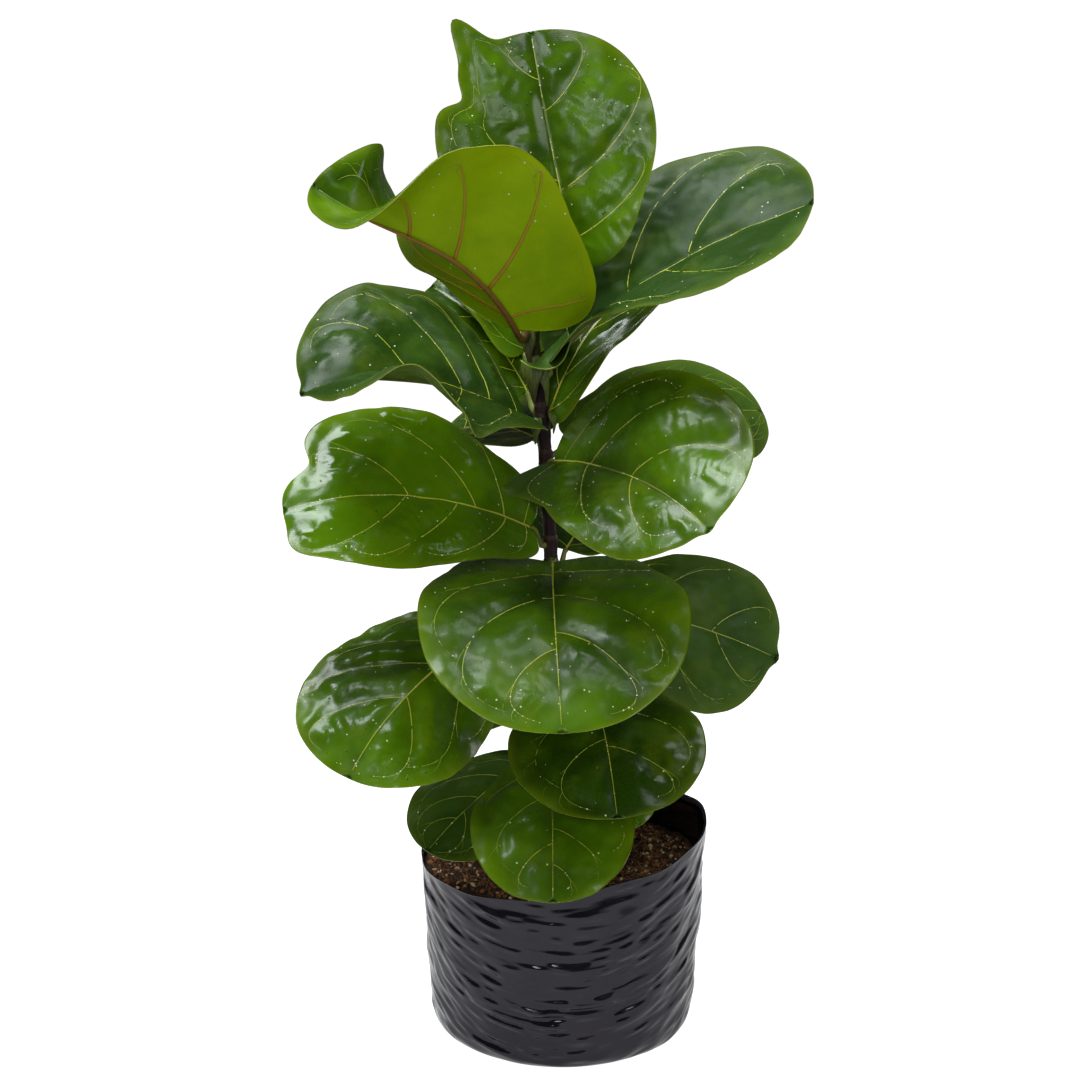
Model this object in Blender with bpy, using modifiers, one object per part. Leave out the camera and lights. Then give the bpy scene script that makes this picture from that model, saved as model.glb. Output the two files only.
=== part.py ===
"""Potted fiddle leaf fig: a film grow bag of soil, one leaning stem and twenty leaves.

Metres, +Z up. The origin is the middle of the flat underside of the bag, and -Y is the front.
"""
import bpy
import bmesh
from math import cos, exp, pi, radians, sin
from mathutils import Vector

# Grow bag and soil
BAG_FLOOR_RADIUS = 0.090       # flat underside, the face that the plant stands on
BAG_LOW_RADIUS = 0.1008        # where the rounded bottom edge runs into the wall
BAG_TOP_RADIUS = 0.1090
BAG_EDGE_HEIGHT = 0.015
BAG_RIM_HEIGHT = 0.148
BAG_RIM_TILT = 0.015           # the rim stands this much higher on its high side, and lower opposite
BAG_HIGH_SIDE = radians(20)
BAG_THICKNESS = 0.0010
BAG_SEGMENTS = 44
BAG_WALL_RINGS = 10
SOIL_HEIGHT = 0.127
SOIL_CLEARANCE = 0.0012        # soil to the middle of the creased film
SOIL_FLOOR_CLEARANCE = 0.0004
SOIL_SIDE_RINGS = 4
SOIL_TOP_RINGS = 6

# Stem: points of its leaning axis, and its radius at the soil and at the tip
STEM_AXIS = ((0.000, 0.0, 0.096), (-0.002, 0.0, 0.200), (-0.009, 0.0, 0.370), (-0.013, 0.0, 0.450),
             (-0.017, 0.0, 0.490), (-0.022, 0.0, 0.531), (-0.024, 0.0, 0.562))
STEM_LOW_RADIUS = 0.0064
STEM_TOP_RADIUS = 0.0042
STEM_STEP = 0.010
STEM_SIDES = 10
STEM_BUD_LENGTH = 0.016        # the shoot ends in a pointed bud
STEM_SWELL = 0.0009            # rings where leaves leave the stem
STEM_SWELL_WIDTH = 0.005
HOLE_CLEARANCE = 0.0004

# Leaf blades and their stalks
BLADE_THICKNESS = 0.0009
BLADE_COLUMNS = 8
SMALL_BLADE_COLUMNS = 6
SMALL_BLADE_LENGTH = 0.17      # a blade shorter than this has the smaller number of columns
BLADE_VEINS = 4                # side veins a half; the blade dips along each and swells between
ROWS_PER_VEIN = 3
QUILT_HEIGHT = 0.0025
RUFFLE_HEIGHT = 0.0012         # small waves that grow towards the margin
RUFFLE_WAVES = 3.5
MIDRIB_SPACING = 1.12          # rows crowd towards the base of the midrib
MARGIN_SPACING = 0.70          # and reach forward to the margin, as the side veins do
VEIN_SWEEP = 1.35
OUTLINE_WAIST = 0.05           # the fiddle's waist
WAIST_PLACE = 0.30
WAIST_SPREAD = 0.10
DRIP_TIP = 0.02
MIDRIB_STEPS = 60
PETIOLE_GAP = 0.0005           # foot of a petiole to the bark
PETIOLE_RADIUS = 0.0025
PETIOLE_HEEL = 0.0015          # it leaves the bark level for this far
PETIOLE_STEPS = 4
RIB_RADIUS = 0.0017
RIB_END_RADIUS = 0.0008
RIB_REACH = 0.78               # share of the midrib that stands out under the blade
RIB_POINTS = 6
STALK_SIDES = 6
RIB_DEPTH = 0.0008             # middle of the rib below the middle of the blade

# One entry a leaf. height is where it leaves the stem, base is where stalk and blade meet. heading is the
# way it points (0 right, 90 back, 180 left, -90 front) and swing is how far that turns by the tip. pitch,
# roll and the lifts of its left and right half are degrees at even steps from base to tip. size is length
# and width. lobes reach back past the base, fullness moves the widest place to the tip, halves scale the
# left and right half, and each bump is (side, place along the margin, reach, spread).
LEAVES = (
    dict(name="leaf_01", height=0.545, base=(0.011, -0.002, 0.584), heading=141, pitch=(72, 75, 78),
         roll=(-51, -51), size=(0.172, 0.157), veins=5, fullness=0.14, lobes=(0.02, 0.02),
         halves=(1.04, 0.98), left=(15, 12, 8, 5, 0), right=(15, 12, 8, 5, 0),
         bumps=((1, 0.86, 0.028, 0.035), (1, 0.73, -0.014, 0.045),)),
    dict(name="leaf_02", height=0.538, base=(-0.031, -0.048, 0.548), heading=-122, swing=-58,
         pitch=(50, 37, 25, 35), roll=(46, 56, 68, 78, 64, 38, -16, -24), size=(0.195, 0.16),
         fullness=-0.15, lobes=(0.12, 0.0), left=(0, 0, 0, 8, 0), right=(58, 66, 70, 82, 82, 66, 44, 26),
         bumps=((1, 0.2, 0.01, 0.13), (1, 0.42, 0.009, 0.1),)),
    dict(name="leaf_03", height=0.508, base=(-0.012, -0.001, 0.519), heading=-10, swing=-12,
         pitch=(46, 31, 21), roll=(32, 32), size=(0.225, 0.18), lobes=(0.0, 0.09),
         left=(16, 18, 15, 10, 0), right=(26, 34, 26, 18, 13, 6), bumps=((-1, 0.3, -0.015, 0.1),)),
    dict(name="leaf_04", height=0.5, base=(-0.028, 0.022, 0.52), heading=110, pitch=(55, 42, 20),
         roll=(-20, -20), size=(0.125, 0.085), left=(15, 15, 5, 5, 5), right=(5, 5)),
    dict(name="leaf_05", height=0.472, base=(-0.027, -0.016, 0.48), heading=-157, swing=-8,
         pitch=(30, 24, 9, 2, -26), roll=(-16, -16), size=(0.17, 0.168), lobes=(0.09, -0.04),
         left=(14, 8, -4, 16, 32, 22, 12), right=(18, 24, 28, 24, 5)),
    dict(name="leaf_06", height=0.48, base=(-0.026, 0.018, 0.492), heading=135, pitch=(50, 32, 10),
         roll=(-35, -35), size=(0.125, 0.095), left=(15, 15, 15, 5, 5), right=(5, 5)),
    dict(name="leaf_07", height=0.462, base=(-0.011, 0.014, 0.474), heading=49, swing=-18,
         pitch=(62, 37, 8), roll=(10, 10), size=(0.165, 0.11), halves=(0.62, 0.7), left=(5, 5),
         right=(5, 5), bumps=((-1, 0.42, -0.005, 0.06),)),
    dict(name="leaf_08", height=0.38, base=(-0.024, -0.01, 0.395), heading=-155, swing=-20,
         pitch=(28, 9, -18), roll=(-48, -40), size=(0.187, 0.155), fullness=0.12, halves=(0.81, 1.06),
         left=(10, 10, 5, 0, 0), right=(-5, -5, -5, -5, 0),
         bumps=((-1, 0.86, -0.017, 0.07), (1, 0.86, 0.009, 0.07),)),
    dict(name="leaf_09", height=0.436, base=(-0.008, -0.03, 0.448), heading=-52, pitch=(10, -4, -26),
         roll=(44, 44), size=(0.17, 0.16), fullness=0.12, lobes=(0.02, 0.15), halves=(1.06, 0.78),
         left=(13, 13, 10, 0, 0), right=(13, 12, 12, 0, 0), bumps=((-1, 0.14, 0.013, 0.1),)),
    dict(name="leaf_10", height=0.445, base=(0.009, 0.02, 0.452), heading=28, pitch=(10, 3, -8),
         roll=(36, 36), size=(0.165, 0.11), left=(0, 0), right=(0, 0)),
    dict(name="leaf_11", height=0.362, base=(-0.008, -0.02, 0.37), heading=-91, swing=6,
         pitch=(4, -20, -50), roll=(0, 0), size=(0.194, 0.19), fullness=0.03, halves=(1.0, 1.01),
         left=(5, 5, 5, 0, 0), right=(5, 5, 5, 0, 0)),
    dict(name="leaf_12", height=0.322, base=(0.012, 0.012, 0.325), heading=6, swing=-6,
         pitch=(-4, -15, -28), roll=(47, 47), size=(0.155, 0.138), fullness=0.35, lobes=(0.0, 0.0),
         halves=(0.9, 1.0), left=(0, 0), right=(0, 0)),
    dict(name="leaf_13", height=0.315, base=(-0.026, -0.01, 0.32), heading=-137, pitch=(5, -25, -52),
         roll=(-25, -25), size=(0.198, 0.158), halves=(0.84, 1.03), left=(-20, -35, -40, -20, 0),
         right=(-6, -14, -16, -10, 0)),
    dict(name="leaf_14", height=0.272, base=(0.021, -0.036, 0.277), heading=-82, pitch=(-2, -26, -48),
         roll=(4, 4), size=(0.13, 0.142), fullness=0.1, left=(0, 0), right=(0, 0)),
    dict(name="leaf_15", height=0.212, base=(-0.008, -0.03, 0.219), heading=-90, pitch=(-5, -25, -48),
         roll=(2, 2), size=(0.138, 0.118), fullness=0.1, left=(0, 0), right=(0, 0)),
    dict(name="leaf_16", height=0.2, base=(-0.032, -0.01, 0.21), heading=-138, pitch=(-20, -26, -36),
         roll=(-26, -26), size=(0.103, 0.078), left=(0, 0), right=(0, 0)),
    dict(name="leaf_17", height=0.19, base=(0.01, -0.01, 0.197), heading=-45, pitch=(-5, -15, -25),
         roll=(15, 15), size=(0.07, 0.06), left=(5, 5), right=(5, 5)),
    dict(name="leaf_18", height=0.256, base=(-0.014, 0.016, 0.256), heading=150, pitch=(-10, -17, -20),
         roll=(-30, -30), size=(0.14, 0.115), left=(5, 5), right=(5, 5)),
    dict(name="leaf_19", height=0.432, base=(-0.02, 0.032, 0.452), heading=124, pitch=(5, -12, -25),
         roll=(-25, -25), size=(0.15, 0.115), halves=(0.9, 1.0), left=(12, 12, 8, 5, 5), right=(5, 5)),
    dict(name="leaf_20", height=0.36, base=(0.002, 0.014, 0.372), heading=70, pitch=(15, 0, -15),
         roll=(10, 10), size=(0.165, 0.135), left=(5, 5), right=(5, 5)),
)

BARK = ("stem_bark", (0.050, 0.024, 0.022), 0.55)
FILM = ("grow_bag_film", (0.012, 0.012, 0.014), 0.30)
SOIL = ("potting_soil", (0.050, 0.022, 0.012), 0.95)
LEAF_GREEN = ("leaf_green", (0.040, 0.120, 0.012), 0.30)


def clear_scene():
    for obj in list(bpy.data.objects):
        bpy.data.objects.remove(obj, do_unlink=True)


def new_collection(name):
    collection = bpy.data.collections.new(name)
    bpy.context.scene.collection.children.link(collection)
    return collection


def new_material(name, color, roughness):
    material = bpy.data.materials.new(name)
    material.use_nodes = True
    surface = material.node_tree.nodes["Principled BSDF"]
    surface.inputs["Base Color"].default_value = (*color, 1.0)
    surface.inputs["Roughness"].default_value = roughness
    surface.inputs["Metallic"].default_value = 0.0
    return material


def add_object(name, data, collection, material=None):
    obj = bpy.data.objects.new(name, data)
    collection.objects.link(obj)
    if material:
        data.materials.clear()
        data.materials.append(material)
    return obj


def mesh_from(bm, name):
    bmesh.ops.recalc_face_normals(bm, faces=bm.faces)
    mesh = bpy.data.meshes.new(name)
    bm.to_mesh(mesh)
    bm.free()
    mesh.shade_smooth()
    return mesh


def evaluated_mesh(obj):
    """Mesh of an object with its modifiers or bevel, its loose caps welded, in world space."""
    bpy.context.view_layer.update()
    source = obj.evaluated_get(bpy.context.evaluated_depsgraph_get())
    mesh = bpy.data.meshes.new_from_object(source)
    mesh.transform(obj.matrix_world)
    bm = bmesh.new()
    bm.from_mesh(mesh)
    bmesh.ops.remove_doubles(bm, verts=bm.verts, dist=1e-6)
    bmesh.ops.recalc_face_normals(bm, faces=bm.faces)
    bm.to_mesh(mesh)
    bm.free()
    return mesh


def tube(name, points, radii, sides, collection):
    """Closed round tube through the points, as a mesh object."""
    curve = bpy.data.curves.new(name, "CURVE")
    curve.dimensions = "3D"
    curve.bevel_depth = 1.0
    curve.bevel_resolution = sides // 2 - 2
    curve.resolution_u = 1
    curve.use_fill_caps = True
    spline = curve.splines.new("POLY")
    spline.points.add(len(points) - 1)
    for place, point, radius in zip(spline.points, points, radii):
        place.co = (*point, 1.0)
        place.radius = radius
    guide = bpy.data.objects.new(name + "_curve", curve)
    collection.objects.link(guide)
    mesh = evaluated_mesh(guide)
    bpy.data.objects.remove(guide, do_unlink=True)
    obj = add_object(name, mesh, collection)
    return obj


def combine(obj, tools, operation):
    """Boolean each tool into the object, apply it and remove the tool."""
    for tool in tools:
        modifier = obj.modifiers.new(operation.lower(), "BOOLEAN")
        modifier.operation = operation
        modifier.object = tool
        mesh = evaluated_mesh(obj)
        obj.modifiers.clear()
        obj.data = mesh
        bpy.data.objects.remove(tool, do_unlink=True)


def along(values, place):
    """Smooth curve through evenly spaced values, read at place 0 to 1."""
    last = len(values) - 1
    step = min(max(place, 0.0), 1.0) * last
    low = min(int(step), last - 1)
    part = step - low
    start, end = values[low], values[low + 1]
    start_slope = (end - values[low - 1]) / 2 if low > 0 else end - start
    end_slope = (values[low + 2] - start) / 2 if low + 2 <= last else end - start
    square, cube = part * part, part ** 3
    return (start * (2 * cube - 3 * square + 1) + start_slope * (cube - 2 * square + part)
            + end * (3 * square - 2 * cube) + end_slope * (cube - square))


def stem_point(height):
    """Point of the stem's axis at a height."""
    for low, high in zip(STEM_AXIS, STEM_AXIS[1:]):
        if height <= high[2]:
            break
    share = (height - low[2]) / (high[2] - low[2])
    return Vector(low).lerp(Vector(high), share)


def stem_radius(height):
    bottom, top = STEM_AXIS[0][2], STEM_AXIS[-1][2]
    share = (height - bottom) / (top - bottom)
    radius = STEM_LOW_RADIUS + (STEM_TOP_RADIUS - STEM_LOW_RADIUS) * share
    for leaf in LEAVES:
        radius += STEM_SWELL * exp(-((height - leaf["height"]) / STEM_SWELL_WIDTH) ** 2)
    return radius


def rim_height(angle):
    wave = 0.0012 * sin(5 * angle + 1.0) + 0.0008 * sin(9 * angle)
    return BAG_RIM_HEIGHT + BAG_RIM_TILT * cos(angle - BAG_HIGH_SIDE) + wave


def wall_radius(angle, height):
    """Outer radius of the film: a slight taper, broad dents and slanting creases."""
    share = min(max((height - BAG_EDGE_HEIGHT) / (BAG_RIM_HEIGHT - BAG_EDGE_HEIGHT), 0.0), 1.1)
    radius = BAG_LOW_RADIUS + (BAG_TOP_RADIUS - BAG_LOW_RADIUS) * share ** 0.8
    creases = (0.0006 * sin(3 * angle + 0.6) + 0.0005 * sin(7 * angle + 90 * height)
               + 0.0004 * sin(11 * angle - 60 * height + 2.0))
    return radius + creases * min(share * 4, 1.0)


def spin_rings(rings, segments):
    """Surface through rings of (radius, height) functions of the angle; a radius of 0 closes it."""
    bm = bmesh.new()
    first = [bm.verts.new((index, 0.0, 0.0)) for index in range(len(rings))]
    edges = [bm.edges.new(pair) for pair in zip(first, first[1:])]
    bmesh.ops.spin(bm, geom=first + edges, angle=2 * pi, steps=segments, axis=(0, 0, 1), cent=(0, 0, 0))
    bmesh.ops.remove_doubles(bm, verts=bm.verts, dist=1e-5)
    for vert in bm.verts:
        index = round(vert.co.xy.length)
        angle = vert.co.xy.angle_signed(Vector((1, 0))) if index else 0.0
        radius, height = rings[index](angle)
        vert.co = (radius * cos(angle), radius * sin(angle), height)
    bmesh.ops.remove_doubles(bm, verts=bm.verts, dist=1e-5)
    return bm


def bag_ring(share):
    """Ring on the film at a share of the way from the bottom edge to the rim."""
    def ring(angle):
        height = BAG_EDGE_HEIGHT + (rim_height(angle) - BAG_EDGE_HEIGHT) * share
        return wall_radius(angle, height), height
    return ring


def bag_edge_ring(turn):
    """Ring on the rounded bottom edge, from the flat underside at 0 to the wall at 90 degrees."""
    def ring(angle):
        reach = wall_radius(angle, BAG_EDGE_HEIGHT) - BAG_FLOOR_RADIUS
        return BAG_FLOOR_RADIUS + reach * sin(turn), BAG_EDGE_HEIGHT * (1 - cos(turn))
    return ring


def make_grow_bag(collection, material):
    rings = [lambda angle: (0.0, 0.0), lambda angle: (BAG_FLOOR_RADIUS / 2, 0.0)]
    rings += [bag_edge_ring(radians(turn)) for turn in (0, 30, 60)]
    rings += [bag_ring(index / BAG_WALL_RINGS) for index in range(BAG_WALL_RINGS + 1)]
    mesh = mesh_from(spin_rings(rings, BAG_SEGMENTS), "grow_bag")
    bag = add_object("grow_bag", mesh, collection, material)
    film = bag.modifiers.new("film", "SOLIDIFY")
    film.thickness = BAG_THICKNESS
    film.offset = -1.0
    film.use_even_offset = True


def soil_bumps(radius, angle):
    x, y = radius * cos(angle), radius * sin(angle)
    return 0.0014 * sin(95 * x + 1.0) * sin(80 * y) + 0.0009 * sin(210 * x + 150 * y)


def soil_top_ring(share):
    def ring(angle):
        radius = share * (wall_radius(angle, SOIL_HEIGHT) - BAG_THICKNESS - SOIL_CLEARANCE)
        return radius, SOIL_HEIGHT + soil_bumps(radius, angle)
    return ring


def soil_side_ring(share):
    def ring(angle):
        height = BAG_EDGE_HEIGHT + (SOIL_HEIGHT - 0.004 - BAG_EDGE_HEIGHT) * share
        return wall_radius(angle, height) - BAG_THICKNESS - SOIL_CLEARANCE, height
    return ring


def make_soil(collection, material):
    floor = BAG_THICKNESS + SOIL_FLOOR_CLEARANCE
    rings = [lambda angle: (0.0, floor), lambda angle: (BAG_FLOOR_RADIUS - 0.003, floor)]
    rings += [soil_side_ring(index / SOIL_SIDE_RINGS) for index in range(SOIL_SIDE_RINGS + 1)]
    rings += [soil_top_ring(index / SOIL_TOP_RINGS) for index in range(SOIL_TOP_RINGS, 0, -1)]
    rings += [lambda angle: (0.0, SOIL_HEIGHT)]
    soil = add_object("soil", mesh_from(spin_rings(rings, BAG_SEGMENTS), "soil"), collection, material)
    foot, mouth = stem_point(STEM_AXIS[0][2]), stem_point(SOIL_HEIGHT + 0.01)
    foot.z -= HOLE_CLEARANCE
    hole_radius = STEM_LOW_RADIUS + HOLE_CLEARANCE
    hole = tube("stem_hole", (foot, mouth), (hole_radius, hole_radius), 16, collection)
    combine(soil, (hole,), "DIFFERENCE")


def make_stem(collection, material):
    bottom, top = STEM_AXIS[0][2], STEM_AXIS[-1][2]
    steps = round((top - bottom) / STEM_STEP)
    heights = [bottom + (top - bottom) * index / steps for index in range(steps + 1)]
    points = [stem_point(height) for height in heights]
    radii = [stem_radius(height) for height in heights]
    for share, radius in ((0.35, 0.85), (0.7, 0.55), (1.0, 0.12)):
        points.append(points[steps] + Vector((0, 0, STEM_BUD_LENGTH * share)))
        radii.append(STEM_TOP_RADIUS * radius)
    stem = tube("stem", points, radii, STEM_SIDES, collection)
    stem.data.materials.append(material)
    stem.data.shade_smooth()


def blade_outline(leaf, turn, side):
    """Flat outline of one half: distance from the base and from the midrib, turn 0 at base to pi at tip."""
    length, width = leaf["size"]
    fullness = leaf.get("fullness", 0.22)
    place = turn / pi
    lobe = leaf.get("lobes", (0.06, 0.06))[0 if side >= 0 else 1]
    forward = length * (0.5 - 0.5 * cos(turn))
    forward -= lobe * length * sin(min(place / 0.32, 1.0) * pi)
    forward += DRIP_TIP * length * exp(-((1 - place) / 0.035) ** 2)

    def reach(angle):
        waist = 1 - OUTLINE_WAIST * exp(-((angle / pi - WAIST_PLACE) / WAIST_SPREAD) ** 2)
        return abs(sin(angle)) ** 0.92 * (1 - fullness * cos(angle)) * waist

    widest = max(reach(pi * step / 100) for step in range(1, 100))
    across = width / 2 * reach(turn) / widest * leaf.get("halves", (1, 1))[0 if side >= 0 else 1]
    for bump_side, bump_place, bump_reach, spread in leaf.get("bumps", ()):
        if bump_side * side > 0:
            push = bump_reach * exp(-((place - bump_place) / spread) ** 2)
            forward -= cos(turn) * push
            across += sin(turn) * push
    return forward, across


def midrib_frames(leaf):
    """Points along the midrib with their forward, left and up directions."""
    length = leaf["size"][0]
    point = Vector(leaf["base"])
    frames = []
    for index in range(MIDRIB_STEPS + 1):
        place = index / MIDRIB_STEPS
        heading = radians(leaf["heading"] + leaf.get("swing", 0) * place)
        pitch = radians(along(leaf["pitch"], place))
        roll = radians(along(leaf["roll"], place))
        forward = Vector((cos(pitch) * cos(heading), cos(pitch) * sin(heading), sin(pitch)))
        level = Vector((-sin(heading), cos(heading), 0.0))
        rise = forward.cross(level)
        left = level * cos(roll) + rise * sin(roll)
        if frames:
            point = point + (forward + frames[-1][1]) / 2 * (length / MIDRIB_STEPS)
        frames.append((point.copy(), forward, left, forward.cross(left)))
    return frames


def frame_at(frames, place):
    step = min(max(place, 0.0), 1.0) * MIDRIB_STEPS
    low = min(int(step), MIDRIB_STEPS - 1)
    return [start.lerp(end, step - low) for start, end in zip(frames[low], frames[low + 1])]


def blade_point(leaf, frames, row, column, side):
    """Point of the bent blade. row is 0 at base to 1 at tip, column is 0 at midrib to 1 at margin."""
    length, width = leaf["size"]
    veins = leaf.get("veins", BLADE_VEINS)
    edge_forward, edge_across = blade_outline(leaf, pi * row ** MARGIN_SPACING, side)
    rib_forward = length * row ** MIDRIB_SPACING
    forward = rib_forward + (edge_forward - rib_forward) * column ** VEIN_SWEEP
    across = edge_across * column
    place = min(max(forward / length, 0.0), 1.0)
    origin, ahead, left, up = frame_at(frames, place)
    origin = origin + ahead * (forward - place * length)
    lift = radians(along(leaf["left" if side >= 0 else "right"], place))
    quilt = QUILT_HEIGHT * (1 - abs(cos(pi * row * veins))) * sin(pi * column) ** 0.7
    ruffle = RUFFLE_HEIGHT * sin(2 * pi * (RUFFLE_WAVES * row + leaf["heading"] / 90)) * column ** 3
    height = across * sin(lift) + quilt + ruffle * sin(pi * row)
    return origin + left * (side * across * cos(lift)) + up * height


def make_blade(leaf, frames, collection):
    rows = ROWS_PER_VEIN * leaf.get("veins", BLADE_VEINS)
    columns = SMALL_BLADE_COLUMNS if leaf["size"][0] < SMALL_BLADE_LENGTH else BLADE_COLUMNS
    bm = bmesh.new()
    bmesh.ops.create_grid(bm, x_segments=rows, y_segments=columns, size=1.0)
    for vert in bm.verts:
        row = min(max((vert.co.x + 1) / 2, 0.0), 1.0)
        side = 1 if vert.co.y >= 0 else -1
        vert.co = blade_point(leaf, frames, row, min(abs(vert.co.y), 1.0), side)
    bmesh.ops.remove_doubles(bm, verts=bm.verts, dist=1e-5)
    bmesh.ops.triangulate(bm, faces=bm.faces, quad_method="FIXED")
    blade = add_object(leaf["name"], mesh_from(bm, leaf["name"]), collection)
    sheet = blade.modifiers.new("sheet", "SOLIDIFY")
    sheet.thickness = BLADE_THICKNESS
    sheet.offset = 0.0
    mesh = evaluated_mesh(blade)
    blade.modifiers.clear()
    blade.data = mesh
    return blade


def make_stalk(leaf, frames, collection):
    """Petiole from the bark to the blade, going on as the midrib under it."""
    axis = stem_point(leaf["height"])
    base = Vector(leaf["base"])
    outward = base - axis
    outward.z = 0.0
    outward.normalize()
    foot = axis + outward * (stem_radius(leaf["height"]) + PETIOLE_GAP)
    ahead = frames[0][1]
    reach = (base - foot).length
    heel = foot + outward * PETIOLE_HEEL
    bends = (heel, heel + outward * reach * 0.3, base - ahead * reach * 0.35, base)
    points, radii = [foot], [PETIOLE_RADIUS]
    for step in range(PETIOLE_STEPS):
        share = step / PETIOLE_STEPS
        rest = 1 - share
        points.append(bends[0] * rest ** 3 + bends[1] * 3 * rest * rest * share
                      + bends[2] * 3 * rest * share * share + bends[3] * share ** 3)
        radii.append(PETIOLE_RADIUS + (RIB_RADIUS - PETIOLE_RADIUS) * share)
    for step in range(RIB_POINTS + 1):
        share = step / RIB_POINTS
        origin, _, _, up = frame_at(frames, share * RIB_REACH)
        points.append(origin - up * RIB_DEPTH)
        radii.append(RIB_RADIUS + (RIB_END_RADIUS - RIB_RADIUS) * share)
    return tube(leaf["name"] + "_stalk", points, radii, STALK_SIDES, collection)


def make_leaf(leaf, collection, material):
    frames = midrib_frames(leaf)
    blade = make_blade(leaf, frames, collection)
    combine(blade, (make_stalk(leaf, frames, collection),), "UNION")
    blade.data.materials.clear()
    blade.data.materials.append(material)
    blade.data.shade_smooth()


def main():
    clear_scene()
    plant = new_collection("potted_fiddle_leaf_fig")
    make_grow_bag(plant, new_material(*FILM))
    make_soil(plant, new_material(*SOIL))
    make_stem(plant, new_material(*BARK))
    leaf_green = new_material(*LEAF_GREEN)
    for leaf in LEAVES:
        make_leaf(leaf, plant, leaf_green)


main()
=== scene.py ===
# Potted fiddle leaf fig: fine leaves, bark, film and soil over the solids.
# Metres, +Z up, and -Y is the front.
import math

import bpy
import numpy as np
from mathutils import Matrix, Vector


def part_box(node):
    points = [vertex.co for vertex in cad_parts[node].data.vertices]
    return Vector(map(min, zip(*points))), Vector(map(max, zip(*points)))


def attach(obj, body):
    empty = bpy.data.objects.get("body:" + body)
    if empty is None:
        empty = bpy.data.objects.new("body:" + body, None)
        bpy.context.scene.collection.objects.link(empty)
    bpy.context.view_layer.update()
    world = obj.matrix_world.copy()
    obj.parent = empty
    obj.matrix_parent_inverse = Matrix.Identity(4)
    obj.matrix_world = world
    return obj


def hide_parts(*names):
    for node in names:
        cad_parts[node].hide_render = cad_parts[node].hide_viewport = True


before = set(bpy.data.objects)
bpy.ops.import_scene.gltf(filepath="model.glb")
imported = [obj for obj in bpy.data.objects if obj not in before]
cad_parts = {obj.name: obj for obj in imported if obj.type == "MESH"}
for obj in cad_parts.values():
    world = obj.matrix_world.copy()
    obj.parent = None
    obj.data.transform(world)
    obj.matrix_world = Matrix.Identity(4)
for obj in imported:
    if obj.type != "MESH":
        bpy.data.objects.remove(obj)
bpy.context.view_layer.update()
print("frame loaded:", len(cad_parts), "solids")


def newGroup(name, inputs, outputs):
    group = bpy.data.node_groups.new(name, "ShaderNodeTree")
    for label, value in inputs.items():
        kind = "NodeSocketColor" if isinstance(value, tuple) else "NodeSocketFloat"
        socket = group.interface.new_socket(name=label, in_out="INPUT", socket_type=kind)
        socket.default_value = (*value, 1) if isinstance(value, tuple) else value
    for label, kind in outputs.items():
        group.interface.new_socket(name=label, in_out="OUTPUT", socket_type=kind)
    return group, NodeBench(group)


class NodeBench:
    # short ways to place and join the nodes of one material or group

    def __init__(self, tree):
        self.tree, self.nodes, self.links = tree, tree.nodes, tree.links

    def put(self, kind, **values):
        node = self.nodes.new("ShaderNode" + kind if not kind.startswith("Node") else kind)
        for label, value in values.items():
            setattr(node, label, value)
        return node

    def feed(self, socket, value):
        if isinstance(value, bpy.types.NodeSocket):
            self.links.new(value, socket)
        elif isinstance(value, tuple) and len(value) == 3 and socket.type == "RGBA":
            socket.default_value = (*value, 1)
        else:
            socket.default_value = value

    def math(self, operation, first, second=0.0, third=0.0):
        node = self.put("Math", operation=operation)
        for socket, value in zip(node.inputs, (first, second, third)):
            self.feed(socket, value)
        return node.outputs[0]

    def clamp(self, value):
        return self.math("MINIMUM", self.math("MAXIMUM", value, 0.0), 1.0)

    def blend(self, share, first, second):
        node = self.put("Mix", data_type="RGBA")
        self.feed(node.inputs["Factor"], share)
        self.feed(node.inputs["A"], first)
        self.feed(node.inputs["B"], second)
        return node.outputs["Result"]

    def remap(self, value, low, high, start=0.0, end=1.0):
        node = self.put("MapRange")
        given = {"Value": value, "From Min": low, "From Max": high, "To Min": start, "To Max": end}
        for label, number in given.items():
            self.feed(node.inputs[label], number)
        return node.outputs["Result"]

    def noise(self, scale, detail=3.0, rough=0.5, stretch=None):
        node = self.put("TexNoise")
        for label, number in (("Scale", scale), ("Detail", detail), ("Roughness", rough)):
            self.feed(node.inputs[label], number)
        vector = self.put("TexCoord").outputs["Object"]
        if stretch:
            squeeze = self.put("Mapping")
            squeeze.inputs["Scale"].default_value = stretch
            self.feed(squeeze.inputs["Vector"], vector)
            vector = squeeze.outputs["Vector"]
        self.feed(node.inputs["Vector"], vector)
        return node.outputs["Fac"]

    def cells(self, scale, feature="F1"):
        node = self.put("TexVoronoi", feature=feature)
        self.feed(node.inputs["Scale"], scale)
        self.feed(node.inputs["Vector"], self.put("TexCoord").outputs["Object"])
        return node.outputs["Distance"]

    def tone(self):
        node = self.put("Attribute", attribute_name="tone")
        parts = self.put("SeparateColor")
        self.links.new(node.outputs["Color"], parts.inputs["Color"])
        return [parts.outputs[index] for index in range(3)] + [node.outputs["Alpha"]]


def finishGroup(bench, results):
    end = bench.put("NodeGroupOutput")
    for label, socket in results.items():
        bench.links.new(socket, end.inputs[label])


def newMaterial(name, **sockets):
    material = bpy.data.materials.new(name)
    material.use_nodes = True
    bench = NodeBench(material.node_tree)
    surface = bench.nodes["Principled BSDF"]
    for label, value in sockets.items():
        bench.feed(surface.inputs[label.replace("_", " ")], value)
    return material, bench, surface


def useGroup(bench, group, **values):
    node = bench.put("Group", node_tree=group)
    for label, value in values.items():
        bench.feed(node.inputs[label], value)
    return node.outputs


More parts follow.
